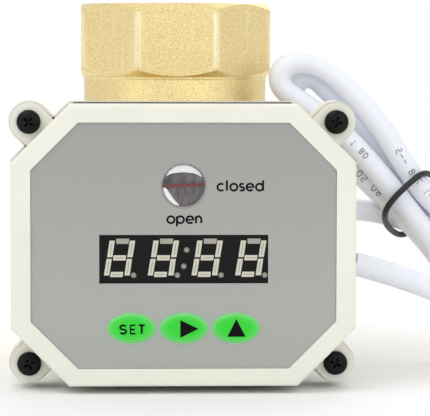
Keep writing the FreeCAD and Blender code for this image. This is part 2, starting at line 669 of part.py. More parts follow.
def involute_wheel(teeth, module, thick, phase, bore=0.0):
    """A spur wheel in the XY plane; phase is the angle of the centre of one tooth."""
    pitch = module * teeth / 2
    pressure = math.radians(20)
    base = pitch * math.cos(pressure)
    tip = pitch + module
    root = pitch - 1.25 * module
    half = math.pi / 2 / teeth - size("tooth_backlash") / 2 / pitch

    def flank(radius):
        """Half the tooth's angle at a radius."""
        if radius <= base:
            return half + math.tan(pressure) - pressure
        slope = math.acos(base / radius)
        return half + (math.tan(pressure) - pressure) - (math.tan(slope) - slope)

    start = max(base, root)
    radii = [start + (tip - start) * k / 4 for k in range(5)]
    if start > root:
        radii.insert(0, root)
    points = []
    for tooth in range(int(teeth)):
        middle = phase + 2 * math.pi * tooth / teeth
        rising = [(r, middle - flank(r)) for r in radii]
        falling = [(r, middle + flank(r)) for r in reversed(radii)]
        points += [Vector(r * math.cos(a), r * math.sin(a), 0) for r, a in rising + falling]
    points.append(points[0])
    wheel = Part.Face(Part.makePolygon(points)).extrude(Vector(0, 0, thick))
    if bore:
        wheel = wheel.cut(Part.makeCylinder(bore, thick))
    return wheel


def turned(shape, back, x, z):
    """Stands a shape up from the XY plane, facing front, at a depth."""
    shape.rotate(Vector(), Vector(1, 0, 0), 90)
    shape.translate(Vector(x, -back, z))
    return shape


def coded(name, shape):
    item = doc.addObject("Part::Feature", name)
    item.Shape = shape
    return node(name, item)


TOWARD_IDLER = math.radians(-90 - size("idler_lean"))
TOWARD_MOTOR = math.radians(-90 + size("motor_lean"))


def output_gear():
    wheel = involute_wheel(size("output_teeth"), size("module_coarse"), size("output_thick"),
                           TOWARD_IDLER)
    hub_start = size("case_back") + 0.4
    hub = Part.makeCylinder(size("hub_radius"), size("output_back") - hub_start,
                            Vector(0, 0, hub_start - size("output_back")))
    side = size("square_side") + 0.1
    socket = Part.makeBox(side, side, size("square_end") + 0.3 - hub_start,
                          Vector(-side / 2, -side / 2, hub_start - size("output_back")))
    gear = wheel.fuse(hub).cut(socket).removeSplitter()
    coded("output_gear", turned(gear, size("output_back"), 0, size("stem_height")))
    shaft = forward("dial_shaft_rod", "shaft_radius", "output_back+output_thick",
                    "dial_front-dial_thick")
    node("indicator_shaft", shaft)


def idler_gear():
    back_mesh = TOWARD_IDLER + math.pi + math.pi / size("idler_small_teeth")
    small = involute_wheel(size("idler_small_teeth"), size("module_coarse"),
                           size("idler_small_thick"), back_mesh)
    large = involute_wheel(size("idler_large_teeth"), size("module_fine"),
                           size("idler_large_thick"), TOWARD_MOTOR)
    large.translate(Vector(0, 0, size("idler_small_thick")))
    total = size("idler_small_thick") + size("idler_large_thick")
    bore = Part.makeCylinder(size("pin_radius") + size("pin_play"), total)
    gear = small.fuse(large).cut(bore).removeSplitter()
    coded("idler_gear", turned(gear, size("idler_back"), IDLER_X, IDLER_Z))
    node("idler_pin", forward("idler_pin", "pin_radius", f"idler_back-hub_play", "plate_back",
                              *IDLER))


def drive_pinion():
    mesh = TOWARD_MOTOR + math.pi + math.pi / size("motor_teeth")
    wheel = involute_wheel(size("motor_teeth"), size("module_fine"), size("pinion_thick"), mesh,
                           size("motor_shaft"))
    back = size("idler_back") + size("idler_small_thick") - 0.4
    coded("drive_pinion", turned(wheel, back, MOTOR_X, MOTOR_Z))
    node("motor_shaft_rod", forward("motor_shaft_rod", "motor_shaft",
                                    "idler_back+idler_small_thick-0.4",
                                    "plate_back+plate_thick+head_length*0.5", *MOTOR))


def gear_motor():
    start = "plate_back+plate_thick"
    head = cut("head_bored", forward("head_solid", "motor_radius", start, f"{start}+head_length", *MOTOR),
               forward("head_bore", "motor_shaft+pin_play", start,
                       f"{start}+head_length*0.5+0.1", *MOTOR))
    node("gear_head", head)
    node("motor_can", forward("motor_can", "can_radius", f"{start}+head_length",
                              f"{start}+head_length+can_length", *MOTOR))


def gear_plate():
    owner = body("gear_plate", "plate_back")
    outline = sketch(owner, "plate_outline")
    top, low = "stem_height+plate_rise", "case_centre-plate_low"
    loop(outline, [("plate_reach", top), ("-plate_reach", top),
                   ("-plate_reach", "case_centre-plate_step"), ("plate_corner-plate_reach", low),
                   ("plate_reach", low)])
    circle(outline, "0", "stem_height", "shaft_radius+hub_play")
    circle(outline, MOTOR[0], MOTOR[1], "motor_shaft+hub_play")
    for x, z in PLATE_POSTS:
        circle(outline, x, z, "board_screw_radius+hole_play")
    pad(owner, outline, "plate_thick")
    screws = [pan_head("plate_screw", "board_screw_radius-0.02", "board_screw_radius*2",
                       "plate_head_thick", "plate_back-plate_screw_bite", "plate_back+plate_thick",
                       x, z) for x, z in PLATE_POSTS]
    node("plate_screws", together("plate_screws", screws))


def cam_and_switches():
    disc = forward("cam_disc", "cam_radius", "cam_back", "cam_back+cam_thick")
    notch = block("cam_notch_cut", "0", "cam_radius+1", "cam_back-1", "cam_back+cam_thick+1",
                  "stem_height-2.5", "stem_height+2.5")
    centre = forward("cam_core", "cam_radius-cam_notch", "cam_back", "cam_back+cam_thick")
    bore = forward("cam_bore", "shaft_radius", "cam_back-1", "cam_back+cam_thick+1")
    cam = cut("limit_cam", fuse("cam_solid", [cut("cam_notched", disc, notch), centre]), bore)
    node("limit_cam", cam)
    start = "plate_back+plate_thick"
    for name, low_x, low_z in (
            ("closed_limit_switch", "cam_radius+2.2", "stem_height-limit_long/2"),
            ("open_limit_switch", "-cam_radius-2.2-limit_high", "stem_height-limit_long/2")):
        case = block(name + "_case", low_x, f"{low_x}+limit_high", start, f"{start}+limit_deep",
                     low_z, f"({low_z})+limit_long")
        edge = "cam_radius+0.3" if name.startswith("closed") else "-cam_radius-2.2"
        nose = block(name + "_nose", edge, f"{edge}+1.9", f"{start}+1.9", f"{start}+3.9",
                     "stem_height-1", "stem_height+1")
        node(name, fuse(name, [case, nose]))


def dial():
    disc = forward("dial_disc", "dial_radius-0.9", "dial_front-dial_thick", "dial_front")
    node("indicator_disc", disc)
    bar = block("indicator_bar", "-dial_radius+1.1", "dial_radius-1.1", "dial_front",
                "dial_front+0.3", "stem_height-0.35", "stem_height+0.35")
    node("indicator_bar", bar)


# Cable, its gland and the tied hank


def tube(name, points, radius):
    """A round cable along straight runs joined by tangent arcs."""
    places = [Vector(*p) for p in points]
    start = places[0]
    edges = []
    radii = []
    for before, here, after in zip(places, places[1:], places[2:]):
        into, out = (here - before).normalize(), (after - here).normalize()
        turn = into.getAngle(out)
        shorter = min(here.distanceToPoint(before), here.distanceToPoint(after))
        bend = 0.45 * shorter / math.tan(turn / 2)
        leave, join = here - into * (0.45 * shorter), here + out * (0.45 * shorter)
        inward = (out - into).normalize()
        middle = here + inward * (bend / math.cos(turn / 2) - bend)
        edges.append(Part.LineSegment(start, leave).toShape())
        edges.append(Part.Arc(leave, middle, join).toShape())
        radii.append(bend)
        start = join
    edges.append(Part.LineSegment(start, places[-1]).toShape())
    path = Part.Wire(edges)
    direction = places[1] - places[0]
    ring = Part.Wire([Part.Circle(places[0], direction, radius).toShape()])
    solid = path.makePipeShell([ring], True, False)
    expected = math.pi * radius ** 2 * path.Length
    print(name, "radii", [round(r, 1) for r in radii], "length", round(path.Length, 1),
          "volume ratio", round(solid.Volume / expected, 5))
    return coded(name, solid)


# Steps from the gland's mouth, and the free end's places beside the stem and the right wall
FEED = ((0, 0, 0), (12, 0.6, -3.4), (24, 4.0, -8.4), (34, 10.5, -12.6), (42, 18, -14.8),
        (47.5, 25.6, -15.6))
TAIL = ((14.1, -9.5, -11.2), (4.1, -11.0, -10.0), (-5.4, -15.0, -9.8), (-12.0, -21.5, -11.4))


def tail_points():
    right, up = size("case_width") / 2, size("stem_height")
    return [(right + x, y, up + z) for x, y, z in TAIL]


def cable():
    radius = size("cable_radius")
    depth, up = -size("gland_depth"), size("gland_up")
    start = size("case_width") / 2 + size("gland_out")
    tube("cable_feed", [(start + x, depth + y, up + z) for x, y, z in FEED], radius)
    tube("cable_tail", tail_points(), radius)
    outer = cylinder("gland_collar", "gland_radius+gland_flange", "gland_out", "case_width/2-0.4",
                     "-gland_depth", "gland_up", TO_RIGHT)
    sleeve = cylinder("gland_sleeve", "gland_radius-0.05", "wall*2+1", "case_width/2-wall*2-0.8",
                      "-gland_depth", "gland_up", TO_RIGHT)
    nut = cylinder("gland_nut", "gland_radius+nut_flange", "nut_thick",
                   "case_width/2-wall-case_draft-nut_thick-0.4",
                   "-gland_depth", "gland_up", TO_RIGHT)
    hole = cylinder("gland_bore", "cable_radius", "gland_out*2", "case_width/2+gland_out-1.2",
                    "-gland_depth", "gland_up", TO_RIGHT)
    node("cable_gland", cut("cable_gland", fuse("gland_solid", [outer, sleeve, nut]), hole))


def hank():
    """The outer shape of the tied hank: two round ends and a waist."""
    top = Vector(size("hank_left"), 0, size("hank_top"))
    low = Vector(size("hank_right"), 0, size("hank_low"))
    axis = (low - top).normalize()
    side = Vector(-axis.z, 0, axis.x)
    end, waist = size("hank_end"), size("hank_waist")
    middle = (top + low) * 0.5
    flat = size("tie_width") / 2 + 0.1

    def edge_side(sign):
        return [top + side * (end * sign), middle - axis * flat + side * (waist * sign),
                middle + axis * flat + side * (waist * sign), low + side * (end * sign)]

    right, left = edge_side(1), edge_side(-1)
    edges = [Part.LineSegment(a, b).toShape() for a, b in zip(right, right[1:])]
    edges.append(Part.Arc(right[-1], low + axis * end, left[-1]).toShape())
    back = list(reversed(left))
    edges += [Part.LineSegment(a, b).toShape() for a, b in zip(back, back[1:])]
    edges.append(Part.Arc(left[0], top - axis * end, right[0]).toShape())
    face = Part.Face(Part.Wire(edges))
    face.translate(Vector(0, -size("hank_near"), 0))
    solid = face.extrude(Vector(0, size("hank_thick"), 0))
    coded("cable_hank", solid)
    half = waist
    wall = size("tie_thick")
    deep = size("hank_thick")

    def slab(grow):
        return Part.makeBox(2 * (half + grow), deep + 2 * grow, size("tie_width"),
                            Vector(-half - grow, -deep / 2 - grow, -size("tie_width") / 2))

    tie = slab(wall).cut(slab(0.0))
    tie.Placement = FreeCAD.Placement(Vector(middle.x, -size("hank_near") + deep / 2, middle.z),
                                      FreeCAD.Rotation(Vector(0, 0, 1), axis))
    coded("cable_tie", tie)


def lead_wires():
    """Three stripped leads with their ferrules at the cable's free end."""
    before, end = (Vector(*point) for point in tail_points()[-2:])
    direction = (end - before).normalize()
    wires = []
    for index in range(3):
        around = 2 * math.pi * index / 3
        across = direction.cross(Vector(0, 0, 1)).normalize()
        rise = direction.cross(across)
        offset = (across * math.cos(around) + rise * math.sin(around)) * size("lead_spread")
        wires.append(Part.makeCylinder(size("lead_radius"), size("lead_length") + index,
                                       end + offset, direction))
    coded("lead_wires", Part.makeCompound(wires))


valve_body()
end_connector()
node("body_gasket", ring("body_gasket", "neck_radius", "cavity_radius", "gasket_thick",
                         "valve_length-band_height-gasket_thick"))
seat("lower_seat", "-1")
seat("upper_seat", "1")
ball()
stem()
mounting_screws()
base_housing()
front_cover()
key_openings()
keys()
cover_gasket()
cover_screws()
boards()
window()
output_gear()
idler_gear()
drive_pinion()
gear_motor()
gear_plate()
cam_and_switches()
dial()
cable()
hank()
lead_wires()
doc.recompute()

broken = [o.Name for o in doc.Objects if "Invalid" in o.State or "Error" in o.State]
if broken:
    raise RuntimeError("failed: " + ", ".join(broken))
os.makedirs("parts", exist_ok=True)
for name, item in nodes.items():
    shape = item.Shape
    if shape.isNull() or not shape.isValid() or not shape.Solids:
        raise RuntimeError("bad shape: " + name)
    shape.exportStep(f"parts/{name}.step")
print(len(nodes), "sub-parts")
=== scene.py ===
"""Motorized ball valve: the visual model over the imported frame.

Lengths in this file are millimetres unless a name ends in _m. The frame is the part's own:
+Z along the flow axis, -Y to the front with the display, +X to the right.
"""
import json
import math

import bmesh
import bpy
from bpy.props import FloatProperty, FloatVectorProperty, PointerProperty
from mathutils import Matrix, Vector


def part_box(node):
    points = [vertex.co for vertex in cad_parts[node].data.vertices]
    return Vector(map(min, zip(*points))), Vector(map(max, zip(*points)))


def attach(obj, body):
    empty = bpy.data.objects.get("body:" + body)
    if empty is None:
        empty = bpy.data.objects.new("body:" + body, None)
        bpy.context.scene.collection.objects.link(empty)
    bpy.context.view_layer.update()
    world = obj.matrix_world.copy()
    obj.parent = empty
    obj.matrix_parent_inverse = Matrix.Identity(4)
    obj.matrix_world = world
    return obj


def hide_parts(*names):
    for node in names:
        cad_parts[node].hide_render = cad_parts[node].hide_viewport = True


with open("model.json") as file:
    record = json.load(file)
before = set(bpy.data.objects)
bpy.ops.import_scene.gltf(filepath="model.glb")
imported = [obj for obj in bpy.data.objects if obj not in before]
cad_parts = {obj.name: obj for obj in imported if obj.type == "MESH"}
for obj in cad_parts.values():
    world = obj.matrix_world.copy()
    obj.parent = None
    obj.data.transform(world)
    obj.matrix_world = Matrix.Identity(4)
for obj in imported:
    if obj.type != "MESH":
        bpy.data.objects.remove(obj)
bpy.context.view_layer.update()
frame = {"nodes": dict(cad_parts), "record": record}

bl_info = {
    "name": "Motorized ball valve",
    "version": (1, 0, 0),
    "blender": (4, 5, 0),
    "location": "3D View > Sidebar > Valve",
    "description": "Builds the pieces and materials of a motorized ball valve",
    "category": "Object",
}

MM = 0.001
FRONT = Vector((0, -1, 0))
TAU = 2 * math.pi


def box_mm(node):
    """The two corners of a CAD node's box, in millimetres."""
    return [[c / MM for c in corner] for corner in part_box(node)]


def middle(node):
    """The centre of a CAD node's box, in millimetres."""
    low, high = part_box(node)
    return (Vector(low) + Vector(high)) / (2 * MM)


STEM_Z = middle("indicator_shaft").z
PANEL_Y = box_mm("faceplate")[0][1]
MODULE_Y = box_mm("display_module")[0][1]
KEY_Y = box_mm("set_button")[0][1]
KEYS = {"set": "set_button", "next": "next_button", "up": "up_button"}


# Colours and shader nodes


def linear(red, green, blue):
    """A colour given as 0 to 255 display values, as the shader wants it."""
    def channel(value):
        value /= 255
        return value / 12.92 if value <= 0.04045 else ((value + 0.055) / 1.055) ** 2.4
    return channel(red), channel(green), channel(blue), 1.0


class Shade:
    """One procedural material, built node by node."""

    def __init__(self, name, colour, rough, metal=0.0, **extra):
        self.material = bpy.data.materials.new(name)
        self.material.use_nodes = True
        self.material.diffuse_color = colour
        tree = self.material.node_tree
        self.nodes, self.links = tree.nodes, tree.links
        self.surface = next(n for n in self.nodes if n.type == "BSDF_PRINCIPLED")
        self.output = next(n for n in self.nodes if n.type == "OUTPUT_MATERIAL")
        self.set("Base Color", colour)
        self.set("Roughness", rough)
        self.set("Metallic", metal)
        for socket, value in extra.items():
            self.set(socket.replace("_", " "), value)
        place = self.add("ShaderNodeTexCoord")
        self.place = place.outputs["Object"]

    def set(self, socket, value):
        self.surface.inputs[socket].default_value = value

    def add(self, kind, **values):
        node = self.nodes.new(kind)
        for key, value in values.items():
            if hasattr(node, key):
                setattr(node, key, value)
            else:
                node.inputs[key.replace("_", " ")].default_value = value
        return node

    def noise(self, period, detail=3.0, rough=0.55, stretch=(1, 1, 1)):
        """Noise whose lumps are about that many millimetres across."""
        mapping = self.add("ShaderNodeMapping")
        mapping.inputs["Scale"].default_value = stretch
        self.links.new(self.place, mapping.inputs["Vector"])
        node = self.add("ShaderNodeTexNoise", Scale=1 / (period * MM), Detail=detail,
                        Roughness=rough)
        self.links.new(mapping.outputs["Vector"], node.inputs["Vector"])
        return node.outputs["Fac"]

    def spread(self, source, low, high, to_low=0.0, to_high=1.0):
        """The source's range from low to high, stretched to another range."""
        node = self.add("ShaderNodeMapRange")
        for key, value in (("From Min", low), ("From Max", high), ("To Min", to_low),
                           ("To Max", to_high)):
            node.inputs[key].default_value = value
        self.links.new(source, node.inputs["Value"])
        return node.outputs["Result"]

    def vary_rough(self, source, low, high):
        self.links.new(self.spread(source, 0.3, 0.7, low, high), self.surface.inputs["Roughness"])

    def mix_colours(self, source):
        """A colour mix that the source drives, with its two colour sockets."""
        node = self.add("ShaderNodeMix", data_type="RGBA")
        self.links.new(source, node.inputs["Factor"])
        mixed = next(socket for socket in node.outputs if socket.type == "RGBA")
        return mixed, [socket for socket in node.inputs if socket.type == "RGBA"]

    def vary_colour(self, source, dark, light):
        mixed, sockets = self.mix_colours(source)
        for socket, colour in zip(sockets, (dark, light)):
            socket.default_value = colour
        self.links.new(mixed, self.surface.inputs["Base Color"])

    def lighten(self, source, colour):
        """Mixes the colour so far towards another where the source says so."""
        base = self.surface.inputs["Base Color"]
        mixed, sockets = self.mix_colours(source)
        self.links.new(base.links[0].from_socket, sockets[0])
        sockets[1].default_value = colour
        self.links.new(mixed, base)

    def bump(self, source, height, strength=1.0):
        """Relief of that many millimetres."""
        node = self.add("ShaderNodeBump", Strength=strength, Distance=height * MM)
        self.links.new(source, node.inputs["Height"])
        before = self.surface.inputs["Normal"]
        if before.is_linked:
            self.links.new(before.links[0].from_socket, node.inputs["Normal"])
        self.links.new(node.outputs["Normal"], before)

    def maths(self, kind, operation, *sources):
        """A Math or VectorMath node over the sources."""
        node = self.add("ShaderNode" + kind, operation=operation)
        for socket, source in zip(node.inputs, sources):
            self.links.new(source, socket)
        return node.outputs["Value"]

    def blend_surface(self, factor, other):
        """Mixes the surface with another shader and sends the mix to the output."""
        mix = self.add("ShaderNodeMixShader")
        self.links.new(factor, mix.inputs["Fac"])
        self.links.new(self.surface.outputs["BSDF"], mix.inputs[1])
        self.links.new(other, mix.inputs[2])
        self.links.new(mix.outputs["Shader"], self.output.inputs["Surface"])

    def let_light_through(self):
        """Shadow rays pass, so what lies behind clear plastic is lit."""
        seen = self.add("ShaderNodeLightPath")
        clear = self.add("ShaderNodeBsdfTransparent")
        self.blend_surface(seen.outputs["Is Shadow Ray"], clear.outputs["BSDF"])

    def upright_edge_highlight(self, radius):
        """The mask of a painted highlight: one along rounded upright edges, within that many
        millimetres, else nought.
        """
        wide = self.add("ShaderNodeBevel", samples=8, Radius=radius * MM).outputs["Normal"]
        own = self.add("ShaderNodeNewGeometry").outputs["Normal"]
        turned = self.spread(self.maths("VectorMath", "DOT_PRODUCT", wide, own), 0.9997, 0.993)
        parts = self.add("ShaderNodeSeparateXYZ")
        self.links.new(wide, parts.inputs["Vector"])
        lean = self.maths("Math", "ABSOLUTE", parts.outputs["Z"])
        return self.maths("Math", "MULTIPLY", turned, self.spread(lean, 0.04, 0.12, 1.0, 0.0))

    def attribute(self, name):
        return self.add("ShaderNodeAttribute", attribute_name=name).outputs["Fac"]

    def fade_to_white(self, near, far):
        """Seen from the camera, the surface turns into white paper between two radii."""
        out = self.maths("VectorMath", "LENGTH", self.place)
        seen = self.add("ShaderNodeLightPath").outputs["Is Camera Ray"]
        both = self.maths("Math", "MULTIPLY", self.spread(out, near * MM, far * MM), seen)
        white = self.add("ShaderNodeEmission", Strength=1.0)
        self.blend_surface(both, white.outputs["Emission"])


MATERIALS = {}
LEAD_COLOURS = {"brown": (98, 60, 40), "blue": (44, 84, 160), "green": (70, 140, 60)}


def material(name):
    return MATERIALS[name].material


def tone(colour, factor):
    """The colour made lighter or darker."""
    return tuple(min(1.0, c * factor) for c in colour[:3]) + (1.0,)


def moulded(name, colour, rough, grain=0.25, relief=0.004, **extra):
    """Moulded plastic: fine spark-eroded grain and slow changes of gloss."""
    shade = Shade(name, colour, rough, **extra)
    shade.vary_rough(shade.noise(9.0), rough * 0.9, rough * 1.12)
    shade.vary_colour(shade.spread(shade.noise(22.0, 2.0), 0.35, 0.65), tone(colour, 0.975),
                      tone(colour, 1.015))
    shade.bump(shade.noise(grain, 2.0), relief, 0.5)
    MATERIALS[name] = shade
    return shade


def metal(name, colour, rough, stretch=(1, 1, 1), grain=0.3, relief=0.003, **extra):
    """Machined or plated metal with fine tool marks along one direction."""
    shade = Shade(name, colour, rough, 1.0, **extra)
    shade.vary_rough(shade.noise(1.5, 4.0, stretch=stretch), rough * 0.75, rough * 1.3)
    shade.bump(shade.noise(grain, 2.0, stretch=stretch), relief, 0.4)
    MATERIALS[name] = shade
    return shade


def make_materials(look):
    """Every finish on the valve, the actuator and the cable."""
    brass = Shade("cast_brass", look.brass[:], 0.4, 1.0)
    grains = brass.noise(0.36, 6.0, 0.7)
    brass.vary_colour(brass.spread(grains, 0.32, 0.56), tone(look.brass, 0.64),
                      tone(look.brass, 1.08))
    brass.vary_rough(brass.noise(0.8, 5.0), 0.3, 0.5)
    # Painted highlight: the brass is lightened to a warm white along its rounded upright edges.
    brass.lighten(brass.upright_edge_highlight(2.1), linear(255, 247, 214))
    brass.bump(grains, 0.07, 1.0)
    brass.bump(brass.noise(3.5, 2.0), 0.1, 0.4)
    MATERIALS["cast_brass"] = brass
    moulded("cream_plastic", look.cover[:], 0.36, grain=0.35, relief=0.006, Specular_IOR_Level=0.4)
    film = moulded("grey_film", look.panel[:], 0.42, grain=0.18, relief=0.005,
                   Specular_IOR_Level=0.35)
    # Painted shade and light: the film is darker towards the top and paler towards the bottom.
    place = film.add("ShaderNodeSeparateXYZ")
    film.links.new(film.place, place.inputs["Vector"])
    film.vary_colour(film.spread(place.outputs["Z"], 0.085, 0.02), tone(look.panel, 0.87),
                     tone(look.panel, 1.12))
    key = moulded("green_key", look.key[:], 0.38, grain=0.15, relief=0.003)
    # Painted highlight: the keys' shoulders take the paler edge colour.
    key.vary_colour(key.attribute("edge"), look.key[:], look.key_rim[:])
    # The halo fades from the pale edge colour into the panel: print, and the key's painted highlight
    # carried onto the film.
    halo = moulded("key_halo", look.key_rim[:], 0.4, grain=0.15, relief=0.003)
    halo.vary_colour(halo.attribute("edge"), look.key_rim[:], tone(look.panel, 1.02))
    moulded("black_ink", linear(5, 5, 5), 0.6, grain=0.12, relief=0.002, Specular_IOR_Level=0.12)
    moulded("black_plastic", linear(24, 24, 25), 0.4)
    moulded("display_black", linear(20, 20, 20), 0.4, grain=0.5, relief=0.002,
            Specular_IOR_Level=0.12)
    # The grey for the digits' top bars is darker than the ivory: painted shade.
    for name, shade in (("ivory", 1.0), ("grey", 0.58), ("dot", 0.36), ("chip", 0.62)):
        moulded("segment_" + name, tone(look.segment, shade), 0.5, grain=0.2)
    moulded("seal_rubber", linear(30, 30, 31), 0.72, grain=0.3, relief=0.01)
    moulded("seat_polymer", linear(236, 235, 230), 0.5)
    # Painted reflection: the dial's white glows a little and stands for reflections of the lights on
    # the dome.
    moulded("dial_white_painted_reflection", linear(250, 250, 250), 0.4, Emission_Color=linear(255, 255, 255),
            Emission_Strength=0.45)
    dial = moulded("dial_dark", linear(112, 98, 106), 0.45)
    dial.vary_colour(dial.spread(dial.noise(2.4, 2.0, stretch=(1.6, 1, 0.8)), 0.38, 0.62),
                     linear(36, 30, 33), linear(128, 110, 118))
    moulded("red_paint", linear(142, 10, 26), 0.45, Specular_IOR_Level=0.2)
    moulded("gear_nylon", linear(226, 221, 202), 0.42, Subsurface_Weight=0.05)
    moulded("board_laminate", linear(20, 82, 48), 0.38, grain=0.6, relief=0.01)
    cable = moulded("white_cable", look.cable[:], 0.34, grain=0.5, relief=0.006)
    cable.bump(cable.noise(3.0, 2.0), 0.06, 0.5)
    moulded("cable_print", linear(128, 131, 136), 0.55)
    moulded("black_tie", linear(20, 20, 22), 0.42, grain=0.4, relief=0.01)
    for name, colour in LEAD_COLOURS.items():
        moulded(name + "_insulation", linear(*colour), 0.4)
    metal("plated_steel", linear(196, 198, 200), 0.24)
    metal("stainless", linear(206, 205, 200), 0.2, stretch=(1, 6, 1))
    metal("motor_steel", linear(186, 187, 188), 0.34, stretch=(1, 1, 8))
    metal("tinned_copper", linear(214, 196, 180), 0.3, stretch=(1, 8, 8))
    metal("polished_ball", linear(226, 226, 228), 0.07, grain=0.8, relief=0.0006)
    moulded("black_screw", linear(6, 5, 6), 0.34, Specular_IOR_Level=0.2)
    glass = Shade("clear_lens", (1, 1, 1, 1), 0.03, Transmission_Weight=1.0, IOR=1.49)
    glass.vary_rough(glass.noise(3.0), 0.02, 0.05)
    glass.let_light_through()
    MATERIALS["clear_lens"] = glass


# Meshes and curves


def link(obj):
    bpy.context.scene.collection.objects.link(obj)
    return obj


def mesh_piece(name, points, faces, look, sharp=None):
    """A mesh from points in millimetres; sharp is the angle that still shades smooth."""
    mesh = bpy.data.meshes.new(name)
    mesh.from_pydata([Vector(p) * MM for p in points], [], faces)
    mesh.validate()
    mesh.update()
    mesh.materials.append(material(look))
    if sharp is not None:
        mesh.shade_smooth()
        mesh.set_sharp_from_angle(angle=math.radians(sharp))
    return link(bpy.data.objects.new(name, mesh))


def band(first, after, count):
    """Faces between two rings of points, given the number of each ring's first point."""
    return [(first + k, after + k, after + (k + 1) % count, first + (k + 1) % count)
            for k in range(count)]


def lathe(name, profile, look, centre=(0, 0), steps=48, sharp=35, upright=False):
    """A solid turned about an axis to the front, or upright; profile is (radius, place)."""
    points, rows = [], []
    for radius, place in profile:
        count = 1 if radius < 1e-6 else steps
        rows.append(list(range(len(points), len(points) + count)))
        for k in range(count):
            across = centre[0] + radius * math.cos(TAU * k / steps)
            other = centre[1] + radius * math.sin(TAU * k / steps)
            points.append((across, other, place) if upright else (across, place, other))
    faces = []
    for one, two in zip(rows, rows[1:]):
        for k in range(steps):
            a, b = one[k % len(one)], one[(k + 1) % len(one)]
            c, d = two[(k + 1) % len(two)], two[k % len(two)]
            faces.append([v for i, v in enumerate((a, b, c, d)) if v not in (a, b, c, d)[:i]])
    faces = [f for f in faces if len(f) > 2]
    return mesh_piece(name, points, faces, look, sharp)


def prisms(name, outlines, back, front, look):
    """Flat shapes of (x, z) points between two depths along y, as one piece."""
    points, faces = [], []
    for outline in outlines:
        first, count = len(points), len(outline)
        points += [(x, y, z) for y in (back, front) for x, z in outline]
        faces += [[first + k for k in range(count)],
                  [first + 2 * count - 1 - k for k in range(count)]]
        faces += band(first + count, first, count)
    return mesh_piece(name, points, faces, look)


def new_curve(name, radius, rounding, look):
    """A curve with a round section of that many millimetres and closed ends."""
    curve = bpy.data.curves.new(name, "CURVE")
    curve.dimensions = "3D"
    curve.bevel_depth = radius * MM
    curve.bevel_resolution = rounding
    curve.use_fill_caps = True
    curve.materials.append(material(look))
    return curve


def add_path(curve, points, closed=False, smooth=False):
    """A path of points in millimetres; smooth takes them as a curve's controls."""
    spline = curve.splines.new("NURBS" if smooth else "POLY")
    spline.points.add(len(points) - 1)
    for point, place in zip(spline.points, points):
        point.co = (*(c * MM for c in place), 1)
    if smooth:
        spline.order_u = 3
        spline.use_endpoint_u = not closed
    spline.use_cyclic_u = closed


def strokes(name, paths, width, y, look, depth=0.04):
    """Printed lines: each path is a list of (x, z) points, laid flat on the plane at y."""
    curve = new_curve(name, width / 2, 3, look)
    for path in paths:
        closed = path[0] == path[-1]
        add_path(curve, [(x, 0, z) for x, z in (path[:-1] if closed else path)], closed)
    obj = link(bpy.data.objects.new(name, curve))
    obj.scale = (1, depth / (width / 2), 1)
    obj.location = (0, y * MM, 0)
    return obj


def arc(x, z, radius_x, radius_z, start, end, steps=16):
    """Points on an ellipse, angles in degrees."""
    angles = [math.radians(start + (end - start) * k / steps) for k in range(steps + 1)]
    return [(x + radius_x * math.cos(a), z + radius_z * math.sin(a)) for a in angles]


def tube(name, points, radius, look, closed=False, smooth=True):
    """A round tube along points in millimetres; smooth takes them as a curve's controls."""
    curve = new_curve(name, radius, 6, look)
    curve.resolution_u = 8
    add_path(curve, points, closed, smooth)
    return link(bpy.data.objects.new(name, curve))


def eight_sided(width, height, corner, centre):
    """The housing's outline: a rectangle with its corners cut at 45 degrees."""
    w, h = width / 2, height / 2
    return [(w, centre + h - corner), (w - corner, centre + h), (corner - w, centre + h),
            (-w, centre + h - corner), (-w, centre - h + corner), (corner - w, centre - h),
            (w - corner, centre - h), (w, centre - h + corner)]


def frame_ring(name, outer, inner, back, front, look):
    """A flat ring between two outlines and two depths."""
    points = [(x, y, z) for loop in (outer, inner) for y in (back, front) for x, z in loop]
    n = len(outer)
    faces = [face for first, after in ((1, 0), (2, 3), (3, 1), (0, 2))
             for face in band(first * n, after * n, n)]
    return mesh_piece(name, points, faces, look)


def cut_away(obj, cutter, name):
    """Adds a modifier that takes the cutter's shape out of the object."""
    cut = obj.modifiers.new(name, "BOOLEAN")
    cut.object = cutter
    cut.solver = "EXACT"
    return cut


def mesh_as_shown(obj):
    """A new mesh of what an object shows, its modifiers or section included."""
    return bpy.data.meshes.new_from_object(
        obj.evaluated_get(bpy.context.evaluated_depsgraph_get()))


def dress(node, look, bevel=None):
    """A CAD node's material, and a small round on its hard edges."""
    obj = frame["nodes"][node]
    obj.data.materials.clear()
    obj.data.materials.append(material(look))
    if bevel:
        modifier = obj.modifiers.new("edge_round", "BEVEL")
        modifier.width = bevel * MM
        modifier.segments = 2
        modifier.limit_method = "ANGLE"
        modifier.angle_limit = math.radians(40)


def finish_piece(obj, body, slot, *nodes):
    """Puts a piece on its body and hides the CAD nodes it stands for; its slot is not used."""
    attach(obj, body)
    if nodes:
        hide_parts(*nodes)
    return obj


# The cable, its tie and leads

# The hank's own directions: u down along it, v across it, from its upper end
HANK_TOP = Vector((37.6, 0, 67.6))
HANK_U = Vector((0.6814, 0, -0.7318))
HANK_V = Vector((0.7318, 0, 0.6814))
HANK_LONG = 75.4
# How far forward the hank's three layers lie
LAYERS = (-18.4, -12.5, -6.7)
CABLE_RADIUS, TIE_RADIUS, PRINT_RADIUS = 2.9, 0.8, 0.13
# The cable's first points, out of the gland, and its last ones
FEED = ((44, -45, 27), (56, -44.4, 23.6), (68, -41, 18.6), (78, -34.5, 14.4), (87, -28.5, 12.4))
TAIL = ((54.5, -8.2, 37.6), (44.5, -10.6, 38.8), (35, -15, 39), (28.4, -21.5, 37.4))
